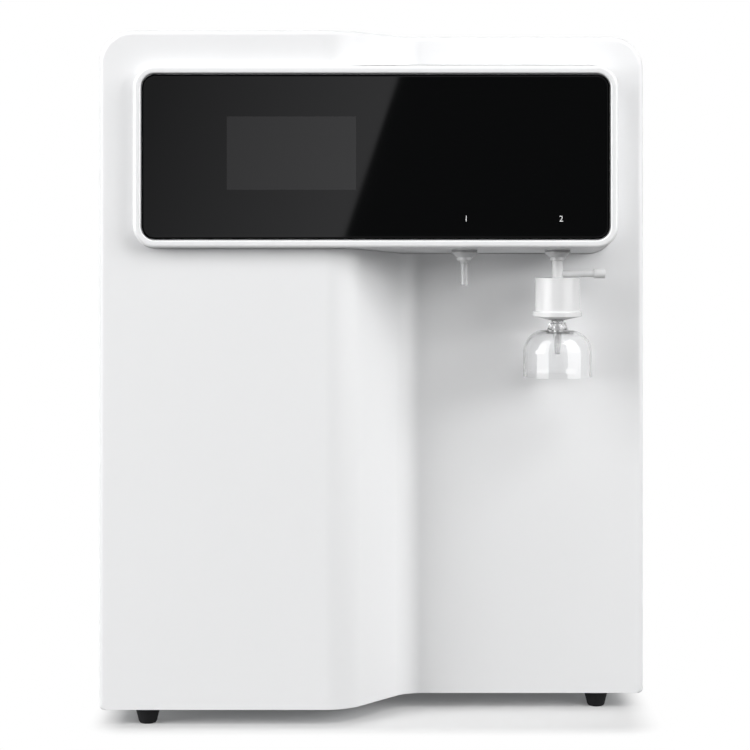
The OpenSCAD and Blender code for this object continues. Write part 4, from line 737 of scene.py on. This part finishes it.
pod_path = through([pod_ring(-14, pod_gap), pod_ring(90, pod_gap)], strips=False)
cover = piece("front_cover_shell", *through(outer_rings), satin_white, "cabinet", "white_moulding",
              ["front_cover"])
carve(cover, "DIFFERENCE",
      tool("hollow", through([inner_back, inner_ring]), satin_white),
      tool("pod_opening", pod_path, satin_white))

# ---------------------------------------------------------------- display pod
# Flared housing that passes through the cover, closed behind by a plate and in front by a glossy
# white frame that holds the glass.
gloss_white = finish("gloss_white", (0.83, 0.833, 0.84), 0.16, mottle=(0.006, 80), spread=0.02,
                     grain=(0.8, 0.002))
housing = piece("pod_housing", *through([pod_ring(bezel_d, 0), pod_ring(pod_d, 0)], strips=False),
                satin_white, "cabinet", "white_moulding", ["display_housing"])
flange_reach, flange_t = 8, 3
flange_out = flange_reach + (pod_d - bezel_d) * flare
flange = [rounded(pod_w + 2 * flange_out, pod_h + 2 * flange_out, pod_r + flange_out, (0, pod_z), y)
          for y in (y_pod + pod_d - flange_t, y_pod + pod_d)]
pod_inside = [pod_ring(bezel_d - 1, -pod_wall), pod_ring(pod_d + 1, -pod_wall)]

# A flat pad in the sloping floor for each outlet, with a seat under it for the seal and a hole
outlet_x, y_outlet, z_outlet = (66.5, 136.3), -206.0, 350.709
pad_r, seat_r, seat_h, outlet_hole_r = 10.7, 10.0, 1.6, 5.1
pad_top = pod_z - pod_h / 2 + pod_wall - (y_outlet - pad_r - y_pod - bezel_d) * flare + 0.2
z_seat = z_outlet + seat_h
pad_line = [(0, z_seat), (pad_r, z_seat), (pad_r, pad_top), (0, pad_top)]
seat_line = [(0, z_outlet - 5), (seat_r, z_outlet - 5), (seat_r, z_seat), (outlet_hole_r, z_seat),
             (outlet_hole_r, pad_top + 5), (0, pad_top + 5)]
pads = together(turning(pad_line, (x, y_outlet, 0)) for x in outlet_x)
seats = together(turning(seat_line, (x, y_outlet, 0)) for x in outlet_x)
carve(housing, "UNION", tool("flange", through(flange, strips=False), satin_white))
carve(housing, "DIFFERENCE", tool("pod_hollow", through(pod_inside, strips=False), satin_white))
carve(housing, "UNION", tool("pads", pads, satin_white))
carve(housing, "DIFFERENCE", tool("seats", seats, satin_white))

# Frame: a rounded outer edge, a flat face, a bevel down to the glass and a ledge behind it
frame_face, frame_round, frame_bevel, glass_sunk, glass_t, play = 5.7, 2.5, 1.0, 1.0, 3.0, 0.8
ledge_t, ledge_reach, least_r = 1.2, 4, 3
round_line = []
for k in range(round_steps + 1):
    t = math.pi / 2 * k / round_steps
    round_line.append((-frame_round * (1 - math.cos(t)), frame_round * (1 - math.sin(t))))
bevel_line = [(-frame_face + frame_bevel * 1.1, 0), (-frame_face + frame_bevel * 0.75, 0.12),
              (-frame_face + 0.25, 0.6), (-frame_face, frame_bevel)]
ledge_in = -frame_face - play - ledge_reach
ledge_line = [(-frame_face, bezel_d - ledge_t), (ledge_in, bezel_d - ledge_t), (ledge_in, bezel_d)]
frame_line = [(0, bezel_d)] + round_line + bevel_line + ledge_line
frame_loops = [rounded(pod_w + 2 * g, pod_h + 2 * g, max(pod_r + g, least_r), (0, pod_z), y_pod + d)
               for g, d in frame_line]
n = len(frame_loops[0])
frame_faces = []
for k in range(len(frame_loops)):
    here, onward = k * n, (k + 1) % len(frame_loops) * n
    frame_faces += [(here + i, here + (i + 1) % n, onward + (i + 1) % n, onward + i)
                    for i in range(n)]
piece("pod_frame", [p for loop in frame_loops for p in loop], frame_faces, gloss_white,
      "cabinet", "bezel_white", ["display_bezel"])

# Glass: black print behind it, left thinner at the display's window, and ground edges
black_print = (0.0022, 0.0023, 0.0024)
black_glass = finish("black_glass", black_print, 0.03, mottle=(0.1, 60), spread=0.01,
                     grain=(3, 0.0), IOR=1.5)
glass_nodes, glass_links = black_glass.node_tree.nodes, black_glass.node_tree.links
glass_shader = glass_nodes["Principled BSDF"]
window = glass_nodes.new("ShaderNodeMix")
window.data_type = "RGBA"
window.inputs["A"].default_value = (*black_print, 1)
window.inputs["B"].default_value = (0.017, 0.017, 0.0175, 1)
glass_place = glass_nodes.new("ShaderNodeTexCoord")
glass_split = glass_nodes.new("ShaderNodeSeparateXYZ")
glass_links.new(glass_place.outputs["Object"], glass_split.inputs[0])
window_x, window_z, window_w, window_h = -62.0, 423.7, 95.0, 53.9
inside = []
for axis, middle, width in (("X", window_x, window_w), ("Z", window_z, window_h)):
    off = maths_node(glass_nodes, "ShaderNodeMath", "SUBTRACT", middle * mm)
    size = maths_node(glass_nodes, "ShaderNodeMath", "ABSOLUTE")
    within = maths_node(glass_nodes, "ShaderNodeMath", "LESS_THAN", width / 2 * mm)
    glass_links.new(glass_split.outputs[axis], off.inputs[0])
    glass_links.new(off.outputs[0], size.inputs[0])
    glass_links.new(size.outputs[0], within.inputs[0])
    inside.append(within.outputs[0])
both_ways = maths_node(glass_nodes, "ShaderNodeMath", "MULTIPLY")
glass_links.new(inside[0], both_ways.inputs[0])
glass_links.new(inside[1], both_ways.inputs[1])
glass_links.new(both_ways.outputs[0], window.inputs["Factor"])
glass_links.new(window.outputs["Result"], glass_shader.inputs["Base Color"])
y_glass = y_pod + glass_sunk
glass_in = frame_face + play
glass_w, glass_h, glass_r = pod_w - 2 * glass_in, pod_h - 2 * glass_in, pod_r - glass_in
glass_line = [(1.6, 0), (1.4, 0.02), (0.25, 0.3), (0, 0.6), (0, glass_t - 0.3), (0.3, glass_t)]
glass_loops = [rounded(glass_w - 2 * c, glass_h - 2 * c, glass_r - c, (0, pod_z), y_glass + d)
               for c, d in glass_line[::-1]]
pane = piece("pod_glass", *through(glass_loops, strips=False), black_glass,
             "cabinet", "black_glass", ["front_glass"], angle=8)
ground_edge = finish("ground_edge", (0.002, 0.002, 0.0022), 0.45, mottle=(0.3, 4),
                     grain=(0.2, 0.004), IOR=1.05)
pane.data.materials.append(ground_edge)
front_slope = -0.99
for face in pane.data.polygons:
    face.material_index = int(face.normal.y > front_slope)

# The side cards are flagged off the glass, which stays black when it is seen from the side
flagged = bpy.data.collections.new("flagged_from_cards")
flagged.objects.link(pane)
flagged.collection_objects[0].light_linking.link_state = "EXCLUDE"
for sheet in side_cards:
    sheet.light_linking.receiver_collection = flagged

# A plain number over each outlet, printed in white on the glass
print_white = finish("print_white", (0.70, 0.70, 0.70), 0.5, mottle=(0.05, 1), grain=(0.1, 0.002))
number_h, number_z, ink_half, ink_gap = 6.2, 375.3, 0.01, 0.002
for digit, x in zip("12", outlet_x):
    stroke = bpy.data.curves.new("number", "FONT")
    stroke.body = digit
    stroke.align_x = "CENTER"
    stroke.align_y = "CENTER"
    stroke.size = number_h
    stroke.extrude = ink_half
    written = placed("number", stroke)
    bpy.context.view_layer.update()
    inked = written.evaluated_get(bpy.context.evaluated_depsgraph_get()).to_mesh()
    number = [(x + v.co.x, y_glass - ink_half - ink_gap - v.co.z, number_z + v.co.y)
              for v in inked.vertices]
    number_faces = [tuple(face.vertices) for face in inked.polygons]
    written.to_mesh_clear()
    bpy.data.objects.remove(written)
    piece("number_" + digit, number, number_faces, print_white, "cabinet", "bezel_white")

# Behind the glass: seal, display module, touch board, and the plate with the pod's screws
seal_rubber = finish("seal_rubber", (0.014, 0.014, 0.014), 0.75, mottle=(0.2, 8), grain=(0.3, 0.01))
module_black = finish("module_black", (0.035, 0.036, 0.038), 0.35, mottle=(0.1, 15),
                      grain=(0.5, 0.004))
dress("glass_gasket", seal_rubber, edge=0)
dress("display_module", module_black, edge=0.3)
dress("touch_sensor", board_green, edge=0.1)
dress("display_back", zinc_plate, edge=0.25)
dress("pod_screws", screw_steel, edge=0.15)

# ---------------------------------------------------------------- outlets
# Two dispensing fittings in natural plastic, screwed up through the pod's floor with a nut each.
# Outlet 1 ends in a plain nozzle and outlet 2 in a stem for the capsule filter.
def clearer_below(look, height, above, below):
    """Makes a plastic clearer under a height in millimetres, where its wall is thin."""
    nodes, links = look.node_tree.nodes, look.node_tree.links
    place = nodes.new("ShaderNodeTexCoord")
    split = nodes.new("ShaderNodeSeparateXYZ")
    thin = nodes.new("ShaderNodeMapRange")
    thin.inputs["From Min"].default_value = (height - 1) * mm
    thin.inputs["From Max"].default_value = (height + 1) * mm
    thin.inputs["To Min"].default_value = below
    thin.inputs["To Max"].default_value = above
    links.new(place.outputs["Object"], split.inputs[0])
    links.new(split.outputs["Z"], thin.inputs["Value"])
    links.new(thin.outputs["Result"], nodes["Principled BSDF"].inputs["Transmission Weight"])


natural_plastic = finish("natural_plastic", (0.78, 0.785, 0.79), 0.22, mottle=(0.03, 6),
                         spread=0.03, grain=(0.5, 0.001), IOR=1.4)
clearer_below(natural_plastic, z_outlet - 8, 0.2, 0.65)
thread_top = pad_top + 8 - z_outlet
z_capsule = 331.409


def fitting_outline(low_r, tip_r, tip_len, bore_r):
    """A fitting's outline from its tail above the thread down to its tip, from the flange's top."""
    tail_r, tail_len, thread_r, flange_r, cone_r, collar_r = 3.4, 12, 5, 9.7, 6.8, 5.8
    flange_low, cone_low, collar_low, taper_low = -0.8, -3.8, -6.5, -9.5
    outer = [(bore_r, thread_top + tail_len), (tail_r, thread_top + tail_len), (tail_r, thread_top),
             (thread_r, thread_top), (thread_r, 0), (flange_r, 0), (flange_r, flange_low),
             (cone_r, cone_low), (collar_r, cone_low), (collar_r, collar_low), (low_r, collar_low),
             (tip_r, taper_low), (tip_r, -tip_len), (bore_r, -tip_len)]
    return eased(outer, 0.35, steps=3)


nozzle_outline = fitting_outline(3.9, 2.8, 25, 1.7)
stem_outline = fitting_outline(2.71, 2.7, z_outlet - z_capsule - 3, 1.4)
piece("outlet_nozzle", *turning(nozzle_outline, (outlet_x[0], y_outlet, z_outlet), steps=64),
      natural_plastic, "cabinet", "fitting_plastic", ["outlet_1_fitting"])
piece("outlet_stem", *turning(stem_outline, (outlet_x[1], y_outlet, z_outlet), steps=64),
      natural_plastic, "cabinet", "fitting_plastic", ["outlet_2_fitting"])

# Hexagon nuts on the pod's floor, and a grey rubber seal above each flange: one part holds them
# all, so its finish changes colour at the floor. The seal's grey is partly its own colour and
# partly painted shade in the gap between each flange and the pod's floor.
nut_plastic = finish("nut_plastic", (0.74, 0.75, 0.75), 0.3, mottle=(0.02, 12), grain=(0.4, 0.008))
nut_nodes, nut_links = nut_plastic.node_tree.nodes, nut_plastic.node_tree.links
nut_place = nut_nodes.new("ShaderNodeTexCoord")
nut_split = nut_nodes.new("ShaderNodeSeparateXYZ")
# Below the floor the finish turns grey: partly the seal's colour, partly painted shade of the gap
# over the flange
below_floor = maths_node(nut_nodes, "ShaderNodeMath", "LESS_THAN", (z_seat + 0.5) * mm)
seal_grey_and_painted_shade = nut_nodes.new("ShaderNodeMix")
seal_grey_and_painted_shade.data_type = "RGBA"
seal_grey_and_painted_shade.inputs["B"].default_value = (0.33, 0.33, 0.335, 1)
nut_shader = nut_nodes["Principled BSDF"]
nut_links.new(nut_place.outputs["Object"], nut_split.inputs[0])
nut_links.new(nut_split.outputs["Z"], below_floor.inputs[0])
nut_links.new(below_floor.outputs[0], seal_grey_and_painted_shade.inputs["Factor"])
nut_links.new(nut_shader.inputs["Base Color"].links[0].from_socket, seal_grey_and_painted_shade.inputs["A"])
nut_links.new(seal_grey_and_painted_shade.outputs["Result"], nut_shader.inputs["Base Color"])
dress("outlet_nuts", nut_plastic, edge=0.4)

# ---------------------------------------------------------------- capsule filter
# Disposable filter in white plastic: neck, body, weld flange, cone and spout are one welded shell,
# with a vent arm at the top. The pleated element is inside.
capsule_white = finish("capsule_white", (0.735, 0.736, 0.74), 0.24, mottle=(0.01, 15), spread=0.03,
                       grain=(0.5, 0.003), Specular_IOR_Level=0.3)
element_fleece = finish("element_fleece", (0.80, 0.80, 0.77), 0.8, mottle=(0.05, 3),
                        grain=(0.2, 0.03))
z_rim, z_spout, z_bell, spout_tip, z_vent = 305.909, 299.109, 291.909, 273.909, 334.309
capsule_r, capsule_wall, rim_r, rim_h, base_t = 16.6, 1.6, 18.2, 3.4, 2.4
neck_r, inlet_r, spout_r, spout_h, outlet_r, outlet_bore_r = 4.1, 2.75, 4.5, 3, 3.2, 1.1
neck_below_flange = 6.8
z_neck = z_outlet - neck_below_flange
capsule_in_r = capsule_r - capsule_wall
clearer_below(capsule_white, z_spout + 1.5, 0.04, 0.8)
shell_outline = eased([
    (inlet_r, z_neck), (neck_r, z_neck), (neck_r, z_capsule), (capsule_r, z_capsule),
    (capsule_r, z_rim + 0.6), (rim_r, z_rim), (rim_r, z_rim - rim_h), (spout_r + 1, z_spout + 0.4),
    (spout_r, z_spout), (spout_r, z_spout - spout_h), (outlet_r, z_spout - spout_h),
    (outlet_r, z_bell - 3), (2, spout_tip), (outlet_bore_r, spout_tip),
    (outlet_bore_r, z_rim - base_t), (capsule_in_r, z_rim - base_t),
    (capsule_in_r, z_capsule - capsule_wall), (inlet_r, z_capsule - capsule_wall)], 0.45, steps=3)
capsule_shell = piece("capsule_shell", *turning(shell_outline, (outlet_x[1], y_outlet, 0)),
                      capsule_white, "cabinet", "capsule_plastic", ["capsule_housing"])
arm_r, arm_from, arm_to = 2.6, 3.2, 31.2
arm_outline = eased([(0, arm_from), (arm_r, arm_from), (arm_r, arm_to), (0, arm_to)], 0.3,
                    closed=False)
vent_arm = turning(arm_outline, (outlet_x[1], y_outlet, z_vent), axis="x", steps=48)
carve(capsule_shell, "UNION", tool("vent_arm", vent_arm, capsule_white))
dress("capsule_element", element_fleece, edge=0)

# Vent cap, turned by its fine ribs
cap_x, cap_r, cap_in_r, cap_len, cap_depth = outlet_x[1] + 27.2, 3.5, 2.65, 8.3, 6.8
rib_count, rib_growth, rib_from, rib_to = 15, 0.1, 0.8, 7.6
cap_line = eased([(cap_in_r, 0), (cap_r, 0), (cap_r, cap_len - 0.3), (cap_r - 0.3, cap_len),
                  (0, cap_len), (0, cap_depth), (cap_in_r, cap_depth)], 0.15, steps=2)
cap_verts, cap_faces = turning(cap_line, (cap_x, y_outlet, z_vent), axis="x", steps=4 * rib_count)
ribbed = []
for index, (x, y, z) in enumerate(cap_verts):
    on_rib = index // len(cap_line) % 4 in (0, 1)
    r = math.hypot(y - y_outlet, z - z_vent)
    if on_rib and r > cap_r - 0.2 and rib_from < x - cap_x < rib_to:
        grown = 1 + rib_growth
        y, z = y_outlet + (y - y_outlet) * grown, z_vent + (z - z_vent) * grown
    ribbed.append((x, y, z))
piece("vent_cap_ribbed", ribbed, cap_faces, capsule_white,
      "vent_cap", "capsule_plastic", ["vent_cap"])

# ---------------------------------------------------------------- bell
# Clear moulded bell that shields a bottle's mouth while it is filled. Its short conical hub grips
# the capsule's spout, and it pulls off downwards.
clear_plastic = finish("clear_plastic", (0.985, 0.986, 0.988), 0.02, mottle=(0.003, 20), spread=0.0,
                       grain=(2, 0.0), Transmission_Weight=1.0, IOR=1.45)
bell_r, bell_h, bell_wall, shoulder_x, shoulder_z = 25.6, 34.4, 1.8, 15.3, 17.0
hub_low_r, hub_bore_r, hub_top, grip_low = 7.8, 3.3, z_spout - 1.4, z_spout - 3.3
spout_play = spout_r + 0.1
z_side, flat_r = z_bell - shoulder_z, bell_r - shoulder_x


def shoulder(inside):
    """The bell's shoulder from its side to its top, at a distance inside the outer surface."""
    turns = [math.radians(6 * k) for k in range(16)]
    across, up = shoulder_x - inside, shoulder_z - inside
    return [(flat_r + across * math.cos(a), z_side + up * math.sin(a)) for a in turns]


bell_line = ([(bell_r, z_bell - bell_h)] + shoulder(0)
             + [(hub_low_r, z_bell + 0.4), (spout_r + 1.5, hub_top), (spout_play, hub_top),
                (spout_play, grip_low), (hub_bore_r, grip_low), (hub_bore_r, z_bell - bell_wall)]
             + shoulder(bell_wall)[::-1] + [(bell_r - bell_wall, z_bell - bell_h)])
piece("bell_shell", *turning(bell_line, (outlet_x[1], y_outlet, 0), steps=128), clear_plastic,
      "bell", "clear_plastic", ["clear_bell"])
